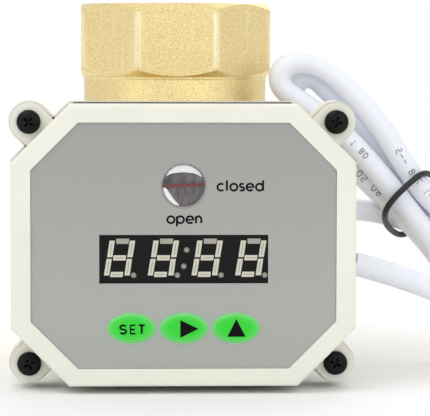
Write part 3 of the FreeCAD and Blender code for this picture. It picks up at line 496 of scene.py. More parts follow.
# The tie's ring round the bundle, down and across the hank, its front further up
TIE = ((32.2, -7.6, -21.9), (31.2, -3.5, -23.0), (31.2, 3.0, -23.0), (31.8, 6.6, -21.6),
       (34.6, 8.0, -16.5), (38.6, 7.8, -9.4), (42.6, 5.6, -4.6), (43.6, 1.2, -3.4),
       (43.6, -4.2, -3.4), (42.2, -8.4, -4.9), (38.6, -9.6, -9.6), (34.9, -9.4, -16.4))


def hank(u, v, y):
    """A place in the hank: down it, across it and forward or back."""
    point = HANK_TOP + HANK_U * u + HANK_V * v
    return point.x, y, point.z


def fold(centre_u, radius_u, radius_v, start, end, count, from_y, to_y, shift=0.0):
    """Points of one end loop of the hank, angles in degrees from the u direction."""
    points = []
    for k in range(count):
        part = k / (count - 1)
        angle = math.radians(start + (end - start) * part)
        points.append(hank(centre_u + radius_u * math.cos(angle),
                           shift + radius_v * math.sin(angle), from_y + (to_y - from_y) * part))
    return points


def run(pairs, y):
    """Points of one layer of the hank, given down and across it."""
    return [hank(u, v, y) for u, v in pairs]


def cable_route():
    """The cable's controls: feed, two and a half folds in three layers, free end."""
    near, mid, far = LAYERS
    low = HANK_LONG - 1.5
    route = list(FEED)
    route += [hank(79.8, 2.2, -26.0), hank(80.2, 7.6, -23.5), hank(75.5, 11.0, -21.3),
              hank(67.0, 10.2, -19.4)]
    route += run(((58, 7.0), (48, 4.4), (38, 2.9), (28, 4.2), (18, 6.3), (9.5, 7.1), (1.5, 7.1),
                  (-4.5, 6.3), (-9.2, 4.3), (-12.4, 0.8), (-12.6, -3.2), (-9.6, -5.6),
                  (-5.0, -4.9), (2.5, -3.0), (12, -1.8), (24, -1.9), (38, -2.9), (50, -4.2),
                  (60, -6.2)), near)
    route += fold(low, 9.6, 9.1, -105, 105, 8, near, mid)
    route += run(((60, 6.2), (50, 4.0), (38, 2.2), (24, 2.8), (12, 3.8)), mid)
    route += fold(-3.0, 4.4, 3.9, 78, 282, 7, mid, mid, -0.8)
    route += run(((12, -5.9), (24, -5.4), (38, -4.5), (50, -4.8), (60, -6.4)), mid)
    route += fold(low, 9.2, 7.6, -105, 105, 8, mid, far, -1.0)
    route += run(((60, 3.6), (50, 0.6), (42, -3.4)), far)
    return route + list(TAIL)


def cable_line(obj):
    """Points along the middle of the cable, read from its own spline."""
    bare = obj.data.copy()
    bare.bevel_depth = 0
    probe = link(bpy.data.objects.new("probe", bare))
    mesh = mesh_as_shown(probe)
    line = [v.co / MM for v in mesh.vertices]
    bpy.data.objects.remove(probe)
    bpy.data.curves.remove(bare)
    bpy.data.meshes.remove(mesh)
    return line


# The marks on the sheath, one high and up to 0.6 wide
GLYPHS = {"-": [[(0, 0.5), (0.6, 0.5)]], "1": [[(0.1, 0.8), (0.3, 1), (0.3, 0)]],
          "0": [arc(0.3, 0.5, 0.3, 0.5, 0, 360, 12)], "7": [[(0, 1), (0.6, 1), (0.2, 0)]],
          "5": [[(0.55, 1), (0.1, 1), (0.05, 0.55), (0.4, 0.6), (0.58, 0.3), (0.35, 0), (0, 0.05)]],
          "8": [arc(0.3, 0.75, 0.24, 0.25, 0, 360, 10), arc(0.3, 0.25, 0.3, 0.25, 0, 360, 10)]}
# Each run of marks: where in the hank it starts, its marks, height and turn round the sheath
PRINTS = (("print_upper", (38, 2.9, LAYERS[0]), "-1 708 --5", 1.7, 8),
          ("print_middle", (6, -2.4, LAYERS[0]), "- -- 1 80", 1.6, -6),
          ("print_lower", (12, -5.9, LAYERS[1]), "--  105 08", 1.9, 4))


def sheath_print(name, line, start, text, height, spin):
    """Plain marks along the sheath, laid on it from a place on its middle line."""
    first = min(range(len(line)), key=lambda k: (line[k] - Vector(start)).length)

    def on_sheath(along, turn):
        k, left = first, along
        while k + 2 < len(line) and left > (line[k + 1] - line[k]).length:
            left -= (line[k + 1] - line[k]).length
            k += 1
        direction = (line[k + 1] - line[k]).normalized()
        out = (FRONT - direction * FRONT.dot(direction)).normalized()
        out = Matrix.Rotation(math.radians(spin) + turn / CABLE_RADIUS, 3, direction) @ out
        return line[k] + direction * left + out * CABLE_RADIUS

    curve = new_curve(name, PRINT_RADIUS, 1, "cable_print")
    at = 0.0
    for letter in text:
        for path in GLYPHS.get(letter, []):
            add_path(curve, [on_sheath(at + dx * height, (dz - 0.5) * height) for dx, dz in path])
        at += height * 0.95
    finish_piece(link(bpy.data.objects.new(name, curve)), "fixed", "white_cable")


LEAD_RADIUS, LEAD_LENGTH, LEAD_SPREAD = 1.0, 5.0, 1.35
TIP_RADIUS, TIP_LENGTH = 0.55, 2.0


def leads():
    """Three insulated wires with tinned tips at the cable's free end."""
    before, end = Vector(TAIL[-2]), Vector(TAIL[-1])
    direction = (end - before).normalized()
    across = direction.cross(Vector((0, 0, 1))).normalized()
    rise = direction.cross(across)
    pieces = []
    for index, colour in enumerate(LEAD_COLOURS):
        around = TAU * index / 3
        start = end + (across * math.cos(around) + rise * math.sin(around)) * LEAD_SPREAD
        tip = start + direction * (LEAD_LENGTH + index)
        bare = tip - direction * TIP_LENGTH
        wire = tube(f"lead_{index + 1}", (start, bare), LEAD_RADIUS,
                    colour + "_insulation", smooth=False)
        pieces.append(finish_piece(wire, "fixed", "white_cable", "lead_wires"))
        core = tube(f"lead_tip_{index + 1}", (bare, tip), TIP_RADIUS, "tinned_copper",
                    smooth=False)
        pieces.append(finish_piece(core, "fixed", "plated_steel", "lead_wires"))
    return pieces


# The front's digits, keys and letters, the screws and the ports' threads

# Half sizes of a key's face, how far its rounded shoulder reaches in, and points round an oval
KEY_ACROSS, KEY_HIGH, KEY_SHOULDER = 5.5, 3.4, 0.75
OVAL_STEPS = 72
# Marks on the keys: height and stroke of the word SET, corners of the others from the centre
SET_HIGH, SET_STROKE = 1.95, 0.5
KEY_MARKS = {"next": ((-0.8, 1.95), (-0.8, -2.2), (3.45, -0.1)),
             "up": ((0.1, 2.17), (-1.98, -1.98), (2.26, -1.98))}
# The cover screws: head, shank, pitch, and how far each is turned, in degrees
HEAD_RADIUS, HEAD_THICK, HEAD_CROWN = 2.85, 2.1, 1.15
SHANK_RADIUS, SCREW_PITCH = 1.45, 0.5
SCREW_TURNS = (12, 38, 65, 25)
# The port threads: share of the pitch that a groove takes, share of that at its root, lap into the
# bore, start behind the mouth, end before the bore's end, steps in a turn
THREAD_FILL, THREAD_ROOT, THREAD_LAP = 0.84, 0.18, 0.25
THREAD_START, THREAD_RUN_OUT, THREAD_STEPS = 0.2, 1.5, 56
# The digits' middles; dots, colon and bars from that middle; the digit that the colon follows
DIGITS = (-15.0, -4.76, 5.48, 15.7)
DIGIT_Z = 32.0
POINT, COLON, COLON_DIGIT = ((3.27, -4.07),), ((5.43, 1.85), (4.76, -1.98)), 2
SEGMENTS = {
    "top": ((-0.80, 4.5), (2.30, 4.5), (2.10, 3.28), (-0.75, 3.28)),
    "upper_left": ((-2.33, 4.04), (-1.11, 4.04), (-1.68, 0.16), (-2.90, 0.16)),
    "upper_right": ((2.42, 4.04), (3.66, 4.04), (3.04, 0.16), (1.80, 0.16)),
    "middle": ((-1.42, 0.61), (1.55, 0.61), (1.40, -0.61), (-1.52, -0.61)),
    "lower_left": ((-3.02, -0.24), (-1.82, -0.24), (-2.44, -4.12), (-3.66, -4.12)),
    "lower_right": ((1.70, -0.24), (2.90, -0.24), (2.38, -4.12), (1.14, -4.12)),
    "bottom": ((-2.02, -3.28), (0.86, -3.28), (0.70, -4.5), (-2.20, -4.5)),
}


def shrunk(outline, along, across):
    """A bar's outline drawn in towards its middle line."""
    x = sum(p[0] for p in outline) / len(outline)
    z = sum(p[1] for p in outline) / len(outline)
    wide = max(p[0] for p in outline) - min(p[0] for p in outline)
    high = max(p[1] for p in outline) - min(p[1] for p in outline)
    if wide > high:
        return [(x + (px - x) * along, z + (pz - z) * across) for px, pz in outline]
    lean = (outline[0][0] + outline[1][0] - outline[2][0] - outline[3][0]) / 2 / high
    return [(x + (px - x - (pz - z) * lean) * across + (pz - z) * lean * along,
             z + (pz - z) * along) for px, pz in outline]


# Single-line letters of a plain geometric face, for a small letter one high, and their widths
RING = arc(0.515, 0.5, 0.515, 0.5, 0, 360, 24)
LETTERS = {
    "c": ([arc(0.515, 0.5, 0.515, 0.5, 48, 312, 20)], 1.0094),
    "d": ([RING, [(1.03, 0), (1.03, 1.5)]], 1.03),
    "e": ([[(0.0375, 0.5), (1.03, 0.5)] + arc(0.515, 0.5, 0.515, 0.5, 8, 318, 22)], 1.03),
    "l": ([[(0, 0), (0, 1.5)]], 0.1325),
    "n": ([[(0, 0), (0, 1)], [(0, 0.475)] + arc(0.39, 0.5, 0.39, 0.5, 170, 0, 14) + [(0.78, 0)]],
          0.78),
    "o": ([RING], 1.03),
    "p": ([RING, [(0, 1), (0, -0.48)]], 1.03),
    "s": ([arc(0.3125, 0.75, 0.3, 0.25, 35, 270, 14)
           + arc(0.3125, 0.25, 0.325, 0.25, 90, -145, 14)], 0.625),
}
LETTER_GAP = 0.36


def word_strokes(text, x, z, height):
    """A word's lines, from a left end on the baseline."""
    paths, at = [], x
    for letter in text:
        lines, width = LETTERS[letter]
        paths += [[(at + px * height, z + pz * height) for px, pz in line] for line in lines]
        at += (width + LETTER_GAP) * height
    return paths


def capital_strokes(x, z, high):
    """The word SET in plain capitals; x and z are the key's centre."""
    low, q = z - high / 2 - 0.22, high / 4
    s = (arc(x - 1.98, low + 3 * q, 0.68, q, 25, 270, 14)
         + arc(x - 1.98, low + q, 0.7, q, 90, -150, 14))
    e = [[(x + 0.86, low + high), (x - 0.26, low + high), (x - 0.26, low), (x + 0.86, low)],
         [(x - 0.26, low + high / 2), (x + 0.76, low + high / 2)]]
    t = [[(x + 1.64, low + high), (x + 3.08, low + high)], [(x + 2.36, low + high), (x + 2.36, low)]]
    return [s] + e + t


def oval_rows(x, z, rows, steps):
    """Points of ovals one behind the other; a row is its half width, half height and y."""
    return [(x + across * math.cos(TAU * k / steps), y, z + high * math.sin(TAU * k / steps))
            for across, high, y in rows for k in range(steps)]


def shade_rows(obj, shades, steps):
    """Writes how pale each oval is, for the material to read."""
    edge = obj.data.attributes.new("edge", "FLOAT", "POINT")
    for row, shade in enumerate(shades):
        for k in range(steps):
            edge.data[row * steps + k].value = shade


def key_cap(name, x, z):
    """An embossed oval key: soft rounded shoulder, slightly crowned face, flange behind."""
    front, flange_back = (corner[1] for corner in box_mm(KEYS[name]))
    rim = PANEL_Y - 0.02
    crown = front + 0.12 - PANEL_Y
    grown = [(0.4, 0.8, flange_back), (0.4, 0.8, flange_back - 0.9), (-0.1, -0.1, flange_back - 0.9),
             (0.0, 0.0, rim)]
    for k in range(1, 7):
        angle = math.pi / 2 * k / 6
        inset = KEY_SHOULDER * (1 - math.cos(angle))
        grown.append((-inset, -inset, rim + crown * math.sin(angle)))
    grown += [(-2.2, -1.7, front + 0.07), (-4.4, -2.9, front + 0.05)]
    steps = OVAL_STEPS
    points = oval_rows(x, z, [(KEY_ACROSS + wide, KEY_HIGH + high, y) for wide, high, y in grown],
                       steps)
    faces = [list(range(steps))]
    for row in range(len(grown) - 1):
        faces += band(row * steps, (row + 1) * steps, steps)
    faces.append(list(range(len(points) - 1, len(points) - steps - 1, -1)))
    obj = mesh_piece(name + "_key_cap", points, faces, "green_key", 50)
    # The shoulder's rows are paler: a painted highlight on the embossed shoulder.
    shade_rows(obj, (0, 0, 0.9, 1, 0.95, 0.8, 0.62, 0.45, 0.3, 0.2, 0, 0), steps)
    return obj


def key_halo(name, x, z):
    """The soft green edge round a key on the film: partly the film's print, partly a painted
    highlight fading out from the key's shoulder.
    """
    rows = ((5.52, 3.42, 0, 0), (5.52, 3.42, 0.03, 0), (5.68, 3.58, 0.03, 0.35),
            (5.84, 3.74, 0.03, 0.75), (6.0, 3.9, 0.03, 1), (6.0, 3.9, 0, 1))
    steps = OVAL_STEPS
    points = oval_rows(x, z, [(wide, high, PANEL_Y - proud) for wide, high, proud, _ in rows], steps)
    faces = []
    for row in range(len(rows)):
        faces += band(row * steps, (row + 1) % len(rows) * steps, steps)
    obj = mesh_piece(name + "_key_halo", points, faces, "key_halo")
    shade_rows(obj, [row[3] for row in rows], steps)
    return obj


def cross_recess(obj, x, z, front, size=1.7, deep=1.3, wide=0.62):
    """Cuts a tapered cross into a screw's head, one slot after the other."""
    def slot_end(long, across, y):
        return [(x - long, y, z - across), (x + long, y, z - across), (x + long, y, z + across),
                (x - long, y, z + across)]

    for crossways in (False, True):
        points = slot_end(size, wide / 2, front - 0.5)
        points += slot_end(size * 0.35, wide * 0.3, front + deep)
        if crossways:
            points = [(x + (pz - z), y, z - (px - x)) for px, y, pz in points]
        faces = [(0, 1, 2, 3), (7, 6, 5, 4)] + band(0, 4, 4)
        cutter = mesh_piece("cutter", points, faces, "black_screw")
        cut = cut_away(obj, cutter, "recess")
        bpy.context.view_layer.update()
        done = mesh_as_shown(obj)
        obj.modifiers.remove(cut)
        obj.data = done
        bpy.data.objects.remove(cutter)
    obj.data.shade_smooth()
    obj.data.set_sharp_from_angle(angle=math.radians(35))


def cut_thread(node, mount, way, pitch, deep):
    """Cuts a pipe thread into a node's port, from its mouth inwards along the way given."""
    fact = next(m for m in frame["record"]["mounts"] if m["name"] == mount)
    radius, long = fact["dims"]["r_mm"], fact["dims"]["length_mm"]
    mouth = fact["pos_m"][2] / MM
    half = pitch * THREAD_FILL / 2
    groove = ((radius - THREAD_LAP, -half), (radius + deep, -half * THREAD_ROOT),
              (radius + deep, half * THREAD_ROOT), (radius - THREAD_LAP, half))
    count = int((long - THREAD_RUN_OUT) / pitch * THREAD_STEPS)
    points, faces = [], []
    for k in range(count + 1):
        angle = TAU * k / THREAD_STEPS
        place = mouth + way * (THREAD_START + half + pitch * k / THREAD_STEPS)
        points += [(r * math.cos(angle), r * math.sin(angle) * way, place + up * way)
                   for r, up in groove]
    for k in range(count):
        faces += band(4 * k + 4, 4 * k, 4)
    faces += [(3, 2, 1, 0), tuple(4 * count + j for j in range(4))]
    cutter = mesh_piece(node + "_thread_cutter", points, faces, "cast_brass")
    shell = bmesh.new()
    shell.from_mesh(cutter.data)
    bmesh.ops.recalc_face_normals(shell, faces=shell.faces)
    shell.to_mesh(cutter.data)
    shell.free()
    cutter.hide_render = True
    cutter.hide_set(True)
    cut_away(frame["nodes"][node], cutter, "thread")


# Property groups


COLOUR = {"subtype": "COLOR", "size": 4, "min": 0, "max": 1}
POWER = {"unit": "POWER", "min": 0}


class StageSettings(bpy.types.PropertyGroup):
    floor: FloatVectorProperty(name="Floor", description="Colour of the floor",
                               default=(0.93, 0.93, 0.93, 1), **COLOUR)
    world: FloatProperty(name="Surroundings", description="Brightness of the white surroundings",
                         default=0.88, min=0)
    key_power: FloatProperty(name="Key light", description="Power of the large light above",
                             default=1.0, **POWER)
    fill_power: FloatProperty(name="Fill light", description="Power of the light in front",
                              default=0.25, **POWER)
    strip_power: FloatProperty(name="Strip lights", description="Power of each upright strip",
                               default=0.2, **POWER)


class LookSettings(bpy.types.PropertyGroup):
    brass: FloatVectorProperty(name="Brass", description="Colour of the cast brass",
                               default=linear(242, 221, 161), **COLOUR)
    cover: FloatVectorProperty(name="Cover", description="Colour of the actuator's housing",
                               default=linear(230, 229, 217), **COLOUR)
    panel: FloatVectorProperty(name="Panel", description="Colour of the front film",
                               default=linear(157, 159, 155), **COLOUR)
    key: FloatVectorProperty(name="Keys", description="Colour of the keys",
                             default=linear(30, 206, 34), **COLOUR)
    # The keys' paler edges are a painted highlight on their shoulders.
    key_rim: FloatVectorProperty(name="Key edges", description="Colour of the keys' soft edges",
                                 default=linear(132, 214, 136), **COLOUR)
    segment: FloatVectorProperty(name="Segments", description="Colour of the unlit segments",
                                 default=linear(202, 199, 184), **COLOUR)
    cable: FloatVectorProperty(name="Cable", description="Colour of the cable's sheath",
                               default=linear(238, 241, 250), **COLOUR)


class FrontSettings(bpy.types.PropertyGroup):
    letter: FloatProperty(name="Letter height", description="Height of the small letters",
                          default=1.6 * MM, min=0.1 * MM, unit="LENGTH")
    stroke: FloatProperty(name="Stroke", description="Width of the printed strokes",
                          default=0.5 * MM, min=0.05 * MM, unit="LENGTH")
    dot: FloatProperty(name="Dot radius", description="Radius of the display's dots",
                       default=0.64 * MM, min=0.1 * MM, unit="LENGTH")


class ThreadSettings(bpy.types.PropertyGroup):
    pitch: FloatProperty(name="Pitch", description="Pitch of the pipe thread",
                         default=2.309 * MM, min=0.5 * MM, unit="LENGTH")
    deep: FloatProperty(name="Depth", description="Depth of the pipe thread's grooves",
                        default=0.9 * MM, min=0.1 * MM, unit="LENGTH")


GROUPS = {"valve_stage": StageSettings, "valve_look": LookSettings, "valve_front": FrontSettings,
          "valve_thread": ThreadSettings}


# Operators

# The camera, found from the photograph: place, lens and turns in degrees
CAMERA_PLACE = (-17.03, -698.04, 81.91)
CAMERA_LENS, CAMERA_SENSOR = 219.48, 36.0
CAMERA_YAW, CAMERA_TILT, CAMERA_ROLL = -2.28, 90 - 3.581, 0.104
# Each light: place, target, width, height, setting that holds its power, share of that power
LIGHTS = {
    "key_light": ((-260, -330, 620), (0, -60, 40), 520, 420, "key_power", 1.0),
    "fill_light": ((240, -640, 260), (10, -80, 40), 500, 360, "fill_power", 1.0),
    "left_strip": ((-560, -470, 160), (0, 0, 60), 90, 520, "strip_power", 1.0),
    "right_strip": ((470, -520, 160), (0, 0, 60), 90, 520, "strip_power", 1.0),
    "back_light": ((140, 420, 460), (0, 0, 60), 520, 360, "key_power", 0.7),
}
# Half the floor's width, and the radii between which it fades to white
FLOOR_HALF = 2500.0
FADE_NEAR, FADE_FAR = 90.0, 330.0


def area_light(name, position, target, width, height, power):
    """A rectangle of light at a place, turned to its target."""
    data = bpy.data.lights.new(name, "AREA")
    data.shape = "RECTANGLE"
    data.size = width * MM
    data.size_y = height * MM
    data.energy = power
    obj = link(bpy.data.objects.new(name, data))
    obj.location = Vector(position) * MM
    towards = Vector(target) * MM - obj.location
    obj.rotation_euler = towards.to_track_quat("-Z", "Y").to_euler()


class VALVE_OT_stage(bpy.types.Operator):
    """Makes the camera, the lights, the floor and the white surroundings"""
    bl_idname = "valve.stage"
    bl_label = "Stage"

    def execute(self, context):
        stage = context.scene.valve_stage
        camera = link(bpy.data.objects.new("camera", bpy.data.cameras.new("camera")))
        camera.data.sensor_width = CAMERA_SENSOR
        camera.data.lens = CAMERA_LENS
        camera.data.clip_end = 10.0
        camera.location = Vector(CAMERA_PLACE) * MM
        yaw, tilt, roll = (math.radians(a) for a in (CAMERA_YAW, CAMERA_TILT, CAMERA_ROLL))
        camera.rotation_euler = (Matrix.Rotation(yaw, 3, "Z") @ Matrix.Rotation(tilt, 3, "X")
                                 @ Matrix.Rotation(roll, 3, "Z")).to_euler()
        context.scene.camera = camera

        half = FLOOR_HALF
        ground = Shade("studio_floor", stage.floor[:], 0.75)
        ground.vary_rough(ground.noise(60.0), 0.7, 0.8)
        ground.fade_to_white(FADE_NEAR, FADE_FAR)
        MATERIALS["studio_floor"] = ground
        floor = mesh_piece("floor", [(-half, -half, 0), (half, -half, 0), (half, half, 0),
                                     (-half, half, 0)], [(0, 1, 2, 3)], "studio_floor")

        world = bpy.data.worlds.new("white_room")
        world.use_nodes = True
        context.scene.world = world
        nodes, links = world.node_tree.nodes, world.node_tree.links
        back = nodes["Background"]
        back.inputs["Color"].default_value = (1, 1, 1, 1)
        paths = nodes.new("ShaderNodeLightPath")
        mix = nodes.new("ShaderNodeMapRange")
        mix.inputs["To Min"].default_value = stage.world
        mix.inputs["To Max"].default_value = 1.0
        links.new(paths.outputs["Is Camera Ray"], mix.inputs["Value"])
        links.new(mix.outputs["Result"], back.inputs["Strength"])

        for name, (place, target, width, height, setting, share) in LIGHTS.items():
            area_light(name, place, target, width, height, getattr(stage, setting) * share)
        context.scene.view_settings.view_transform = "Standard"
        return {"FINISHED"}


class VALVE_OT_materials(bpy.types.Operator):
    """Makes the procedural materials"""
    bl_idname = "valve.materials"
    bl_label = "Materials"

    def execute(self, context):
        make_materials(context.scene.valve_look)
        return {"FINISHED"}


class VALVE_OT_cable(bpy.types.Operator):
    """Makes the cable with its tied hank, its print, the tie and the leads"""
    bl_idname = "valve.cable"
    bl_label = "Cable"

    def execute(self, context):
        cable = tube("cable", cable_route(), CABLE_RADIUS, "white_cable")
        finish_piece(cable, "fixed", "white_cable", "cable_feed", "cable_hank", "cable_tail")
        ring = [hank(*place) for place in TIE]
        tie = tube("cable_tie_ring", ring, TIE_RADIUS, "black_tie", closed=True)
        finish_piece(tie, "fixed", "black_tie", "cable_tie")
        line = cable_line(cable)
        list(leads())
        for name, start, text, height, spin in PRINTS:
            sheath_print(name, line, hank(*start), text, height, spin)
        return {"FINISHED"}


# The housing's seam: how far its outline is past the seal's own, and its corners' cut; then how
# much wider, higher and more cut the rim and the seal are than that outline
SEAM_ROOM, SEAM_CORNER = 1.4, 13.6
RIM_OUTSIDE, RIM_DEEP = (0.9, 1.1, 0.3), 1.6
# The seal reaches past the cover, so its dark rubber shows as the line at the seam: a real seal, and
# a painted shadow line.
SEAL_SHADOW_OUTSIDE, SEAL_INSIDE = (0.4, 0.5, 1.2), (-1.4, -1.4, -0.4)
LIP_WIDE = 0.7


class VALVE_OT_seams(bpy.types.Operator):
    """Makes the rim and the seal at the housing's seam, the seal's dark edge showing as a painted
    shadow line, and the lip over the valve's joint
    """
    bl_idname = "valve.seams"
    bl_label = "Seams"

    def execute(self, context):
        low, high = box_mm("cover_gasket")
        width, height = (high[k] - low[k] + SEAM_ROOM for k in (0, 2))
        centre, seam = middle("cover_gasket").z, high[1]

        def outline(wider, higher, cut):
            return eight_sided(width + wider, height + higher, SEAM_CORNER + cut, centre)

        rim = frame_ring("base_rim", outline(*RIM_OUTSIDE), outline(0, 0, 0), seam + RIM_DEEP, seam,
                         "cream_plastic")
        finish_piece(rim, "fixed", "cream_plastic")
        # Painted shadow line: the seal's dark edge shows past the cover at the seam.
        seal = frame_ring("seam_seal_shadow_line", outline(*SEAL_SHADOW_OUTSIDE), outline(*SEAL_INSIDE), seam, low[1],
                          "seal_rubber")
        finish_piece(seal, "fixed", "seal_rubber", "cover_gasket")
        low, high = box_mm("body_gasket")
        bottom, top = low[2], high[2]
        inside, outside = high[0] + 0.02, high[0] + LIP_WIDE
        lip = lathe("joint_lip", [(inside, bottom), (outside, bottom), (outside + 0.1, bottom + 0.3),
                                  (outside + 0.1, top), (inside, top), (inside, bottom)],
                    "cast_brass", steps=96, upright=True)
        finish_piece(lip, "fixed", "brass_casting")
        return {"FINISHED"}


class VALVE_OT_threads(bpy.types.Operator):
    """Cuts the pipe threads into both ports"""
    bl_idname = "valve.threads"
    bl_label = "Port threads"

    def execute(self, context):
        thread = context.scene.valve_thread
        for node, mount, way in (("valve_body", "inlet_port", 1),
                                 ("end_connector", "outlet_port", -1)):
            cut_thread(node, mount, way, thread.pitch / MM, thread.deep / MM)
        return {"FINISHED"}


class VALVE_OT_screws(bpy.types.Operator):
    """Makes the four cover screws with cross recesses and threads"""
    bl_idname = "valve.screws"
    bl_label = "Cover screws"

    def execute(self, context):
        low, high = box_mm("cover_screws")
        front, back = low[1], high[1]
        seat = front + HEAD_THICK
        centre = middle("cover_screws")
        reach_x, reach_z = ((high[k] - low[k]) / 2 - HEAD_RADIUS for k in (0, 2))
        profile = [(0, front)]
        profile += [(HEAD_RADIUS * math.sin(a), front + HEAD_CROWN * (1 - math.cos(a)))
                    for a in (math.pi / 2 * k / 8 for k in range(1, 9))]
        profile += [(HEAD_RADIUS, seat - 0.1), (HEAD_RADIUS - 0.1, seat), (SHANK_RADIUS, seat)]
        y = seat
        while y + SCREW_PITCH < back - 0.6:
            profile += [(SHANK_RADIUS - 0.25, y + 0.15), (SHANK_RADIUS, y + 0.4)]
            y += SCREW_PITCH
        profile += [(1.1, back - 0.3), (0, back)]
        corners = ((1, 1), (-1, 1), (-1, -1), (1, -1))
        for index, ((right, up), turn) in enumerate(zip(corners, SCREW_TURNS), start=1):
            x, z = centre.x + right * reach_x, centre.z + up * reach_z
            screw = lathe(f"cover_screw_{index}", profile, "black_screw", (x, z), 40, 30)
            cross_recess(screw, x, z, front)
            pivot = Matrix.Translation(Vector((x, 0, z)) * MM)
            turned = Matrix.Rotation(math.radians(turn), 4, "Y")
            screw.data.transform(pivot @ turned @ pivot.inverted())
            finish_piece(screw, "fixed", "black_screw", "cover_screws")
        return {"FINISHED"}


class VALVE_OT_keys(bpy.types.Operator):
    """Makes the three embossed keys and their marks"""
    bl_idname = "valve.keys"
    bl_label = "Keys"

    def execute(self, context):
        for name, node in KEYS.items():
            centre = middle(node)
            x, z = centre.x, centre.z
            finish_piece(key_cap(name, x, z), name + "_key", "green_key", node)
            finish_piece(key_halo(name, x, z), "fixed", "green_key")
            mark_y = KEY_Y + 0.05
            if name == "set":
                mark = strokes("set_mark", capital_strokes(x, z, SET_HIGH), SET_STROKE, mark_y,
                               "black_ink")
            else:
                shape = [(x + dx, z + dz) for dx, dz in KEY_MARKS[name]]
                mark = prisms(name + "_mark", [shape], mark_y + 0.1, mark_y - 0.04, "black_ink")
            finish_piece(mark, name + "_key", "black_plastic")
        return {"FINISHED"}


class VALVE_OT_display(bpy.types.Operator):
    """Makes the four seven-segment digits with their dots and colon"""
    bl_idname = "valve.display"
    bl_label = "Display"

    def execute(self, context):
        dot = context.scene.valve_front.dot / MM
        back, front = MODULE_Y + 0.2, MODULE_Y - 0.03
        for place, x in enumerate(DIGITS, start=1):
            bars = {name: [(x + dx, DIGIT_Z + dz) for dx, dz in shape]
                    for name, shape in SEGMENTS.items()}
            top = bars.pop("top")
            cores = [shrunk(bar, 0.7, 0.2) for bar in list(bars.values()) + [top]]
            spots = [(x + dx, DIGIT_Z + dz)
                     for dx, dz in (POINT + COLON if place == COLON_DIGIT else POINT)]
            rounds = [arc(dot_x, dot_z, dot, dot, 0, 345, 23) for dot_x, dot_z in spots]
            pips = [arc(dot_x, dot_z, dot * 0.4, dot * 0.4, 0, 330, 11) for dot_x, dot_z in spots]
            # The top bars take the darker grey: painted shade at the top of each digit.
            for name, shapes, lift, look in (("bars", bars.values(), 0, "segment_ivory"),
                                             ("top_bar", [top], 0, "segment_grey"),
                                             ("dots", rounds, 0, "segment_dot"),
                                             ("chips", cores + pips, 0.02, "segment_chip")):
                piece = prisms(f"digit_{place}_{name}", shapes, back, front - lift, look)
                finish_piece(piece, "fixed", "seat_polymer")
        return {"FINISHED"}


# The window's dome and foot; the dial, the outline of its dark face, round which the dial's white
# stands as painted reflections on the dome, and its bar's half length, half width and lean
WINDOW_RIM, WINDOW_THICK = 5.17, 0.7
FOOT_RADIUS, FOOT_THICK = 6.1, 1.0
DIAL_RADIUS = 5.0
DIAL_DARK_OUTLINE = ((-4.8, 0.5), (-4.5, 1.6), (-3.9, 2.3), (-2.9, 2.8), (-1.2, 3.05), (0.6, 3.1),
              (2.3, 2.9), (3.6, 2.45), (4.45, 1.8), *arc(0, 0, 4.9, 4.9, 22, -100, 26),
              (-1.7, -4.0), (-2.6, -2.9), (-3.4, -1.7), (-4.2, -0.6))
BAR_LONG, BAR_HALF, BAR_TILT = 4.85, 0.36, 2.6


class VALVE_OT_window(bpy.types.Operator):
    """Makes the domed window, and the dial behind it with its dark face, its glowing white as
    painted reflections, and its red bar
    """
    bl_idname = "valve.window"
    bl_label = "Window"

    def execute(self, context):
        front, back = (corner[1] for corner in box_mm("window_lens"))
        level = PANEL_Y + 0.05
        bow = [(WINDOW_RIM * math.cos(a), (level - front) * math.sin(a)) for a in
               (math.pi / 2 * k / 16 for k in range(17))]
        outer = [(radius, level - height) for radius, height in bow]
        inner = [(radius * 0.985, level - height + WINDOW_THICK) for radius, height in bow]
        outer[-1], inner[-1] = (0, front), (0, front + WINDOW_THICK)
        foot = [(WINDOW_RIM, back - FOOT_THICK), (FOOT_RADIUS, back - FOOT_THICK),
                (FOOT_RADIUS, back), (WINDOW_RIM * 0.985, back)]
        lens = lathe("window_dome", outer[::-1] + foot + inner, "clear_lens", (0, STEM_Z), 72, 40)
        finish_piece(lens, "fixed", "clear_lens", "window_lens")

        front, back = (corner[1] for corner in box_mm("indicator_disc"))
        round_edge = [(0, front), (DIAL_RADIUS - 0.15, front), (DIAL_RADIUS, front + 0.15),
                      (DIAL_RADIUS, back), (0, back)]
        # The white left round the dark face glows: painted reflections on the dome.
        disc = lathe("dial_disc", round_edge, "dial_white_painted_reflection", (0, STEM_Z), 72, 40)
        finish_piece(disc, "valve_train", "black_plastic", "indicator_disc")
        face = prisms("dial_dark_face", [[(x, STEM_Z + z) for x, z in DIAL_DARK_OUTLINE]], front,
                      front - 0.04, "dial_dark")
        finish_piece(face, "valve_train", "black_plastic")
        tilt = math.tan(math.radians(BAR_TILT))
        bar = [(x, STEM_Z + x * tilt + z) for x, z in ((-BAR_LONG, BAR_HALF), (BAR_LONG, BAR_HALF),
                                                      (BAR_LONG, -BAR_HALF), (-BAR_LONG, -BAR_HALF))]
        pointer = prisms("dial_bar", [bar], front, front - 0.3, "red_paint")
        finish_piece(pointer, "valve_train", "red_paint", "indicator_bar")
        return {"FINISHED"}


# The left end of each word's line
WORDS = {"closed": (7.85, 47.75), "open": (-3.85, 40.15)}


class VALVE_OT_words(bpy.types.Operator):
    """Prints the words for the valve's two positions"""
    bl_idname = "valve.words"
    bl_label = "Words"

    def execute(self, context):
        front = context.scene.valve_front
        for text, (x, z) in WORDS.items():
            word = strokes("word_" + text, word_strokes(text, x, z, front.letter / MM),
                           front.stroke / MM, PANEL_Y, "black_ink", 0.02)
            finish_piece(word, "fixed", "black_plastic")
        return {"FINISHED"}


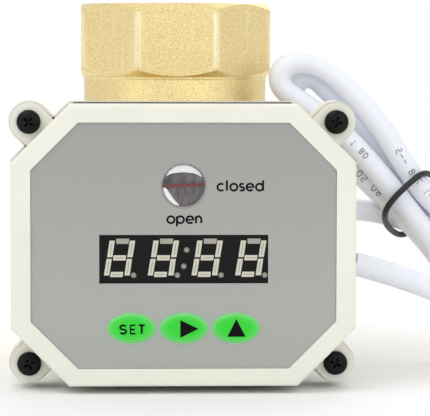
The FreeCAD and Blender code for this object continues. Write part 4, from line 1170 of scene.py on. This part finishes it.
NODE_LOOKS = {
    "cast_brass": "valve_body end_connector",
    "cream_plastic": "base_housing front_cover cable_gland",
    "grey_film": "faceplate",
    "plated_steel": "mounting_screws board_screws plate_screws idler_pin gear_plate",
    "stainless": "stem indicator_shaft motor_shaft_rod",
    "motor_steel": "gear_head motor_can",
    "polished_ball": "ball",
    "seat_polymer": "lower_seat upper_seat thrust_washer",
    "seal_rubber": "body_gasket stem_o_rings",
    "gear_nylon": "output_gear idler_gear drive_pinion limit_cam",
    "board_laminate": "control_board power_board",
    "display_black": "display_module",
    "black_plastic": "key_switches closed_limit_switch open_limit_switch",
}
NODE_BEVELS = {"valve_body": 0.5, "end_connector": 0.5, "base_housing": 0.3, "front_cover": 0.3,
               "cable_gland": 0.3, "display_module": 0.15, "ball": 0.3}


class VALVE_OT_nodes(bpy.types.Operator):
    """Gives every remaining CAD piece its material and its edge rounds"""
    bl_idname = "valve.nodes"
    bl_label = "Frame pieces"

    def execute(self, context):
        for look, names in NODE_LOOKS.items():
            for name in names.split():
                dress(name, look, NODE_BEVELS.get(name))
        return {"FINISHED"}


OPERATORS = (VALVE_OT_materials, VALVE_OT_stage, VALVE_OT_cable, VALVE_OT_seams,
             VALVE_OT_threads, VALVE_OT_screws, VALVE_OT_keys, VALVE_OT_display,
             VALVE_OT_window, VALVE_OT_words, VALVE_OT_nodes)


class VALVE_PT_panel(bpy.types.Panel):
    """The valve's operators in the sidebar"""
    bl_idname = "VALVE_PT_panel"
    bl_label = "Motorized ball valve"
    bl_space_type = "VIEW_3D"
    bl_region_type = "UI"
    bl_category = "Valve"

    def draw(self, context):
        for name, group in GROUPS.items():
            settings = getattr(context.scene, name)
            for key in group.__annotations__:
                self.layout.prop(settings, key)
        for operator in OPERATORS:
            self.layout.operator(operator.bl_idname)


CLASSES = tuple(GROUPS.values()) + OPERATORS + (VALVE_PT_panel,)


def register():
    for cls in CLASSES:
        bpy.utils.register_class(cls)
    for name, group in GROUPS.items():
        setattr(bpy.types.Scene, name, PointerProperty(type=group))


def unregister():
    for name in GROUPS:
        delattr(bpy.types.Scene, name)
    for cls in reversed(CLASSES):
        bpy.utils.unregister_class(cls)


def main():
    register()
    for operator in OPERATORS:
        module, name = operator.bl_idname.split(".")
        getattr(getattr(bpy.ops, module), name)()
    bpy.context.view_layer.update()


if __name__ == "__main__":
    main()
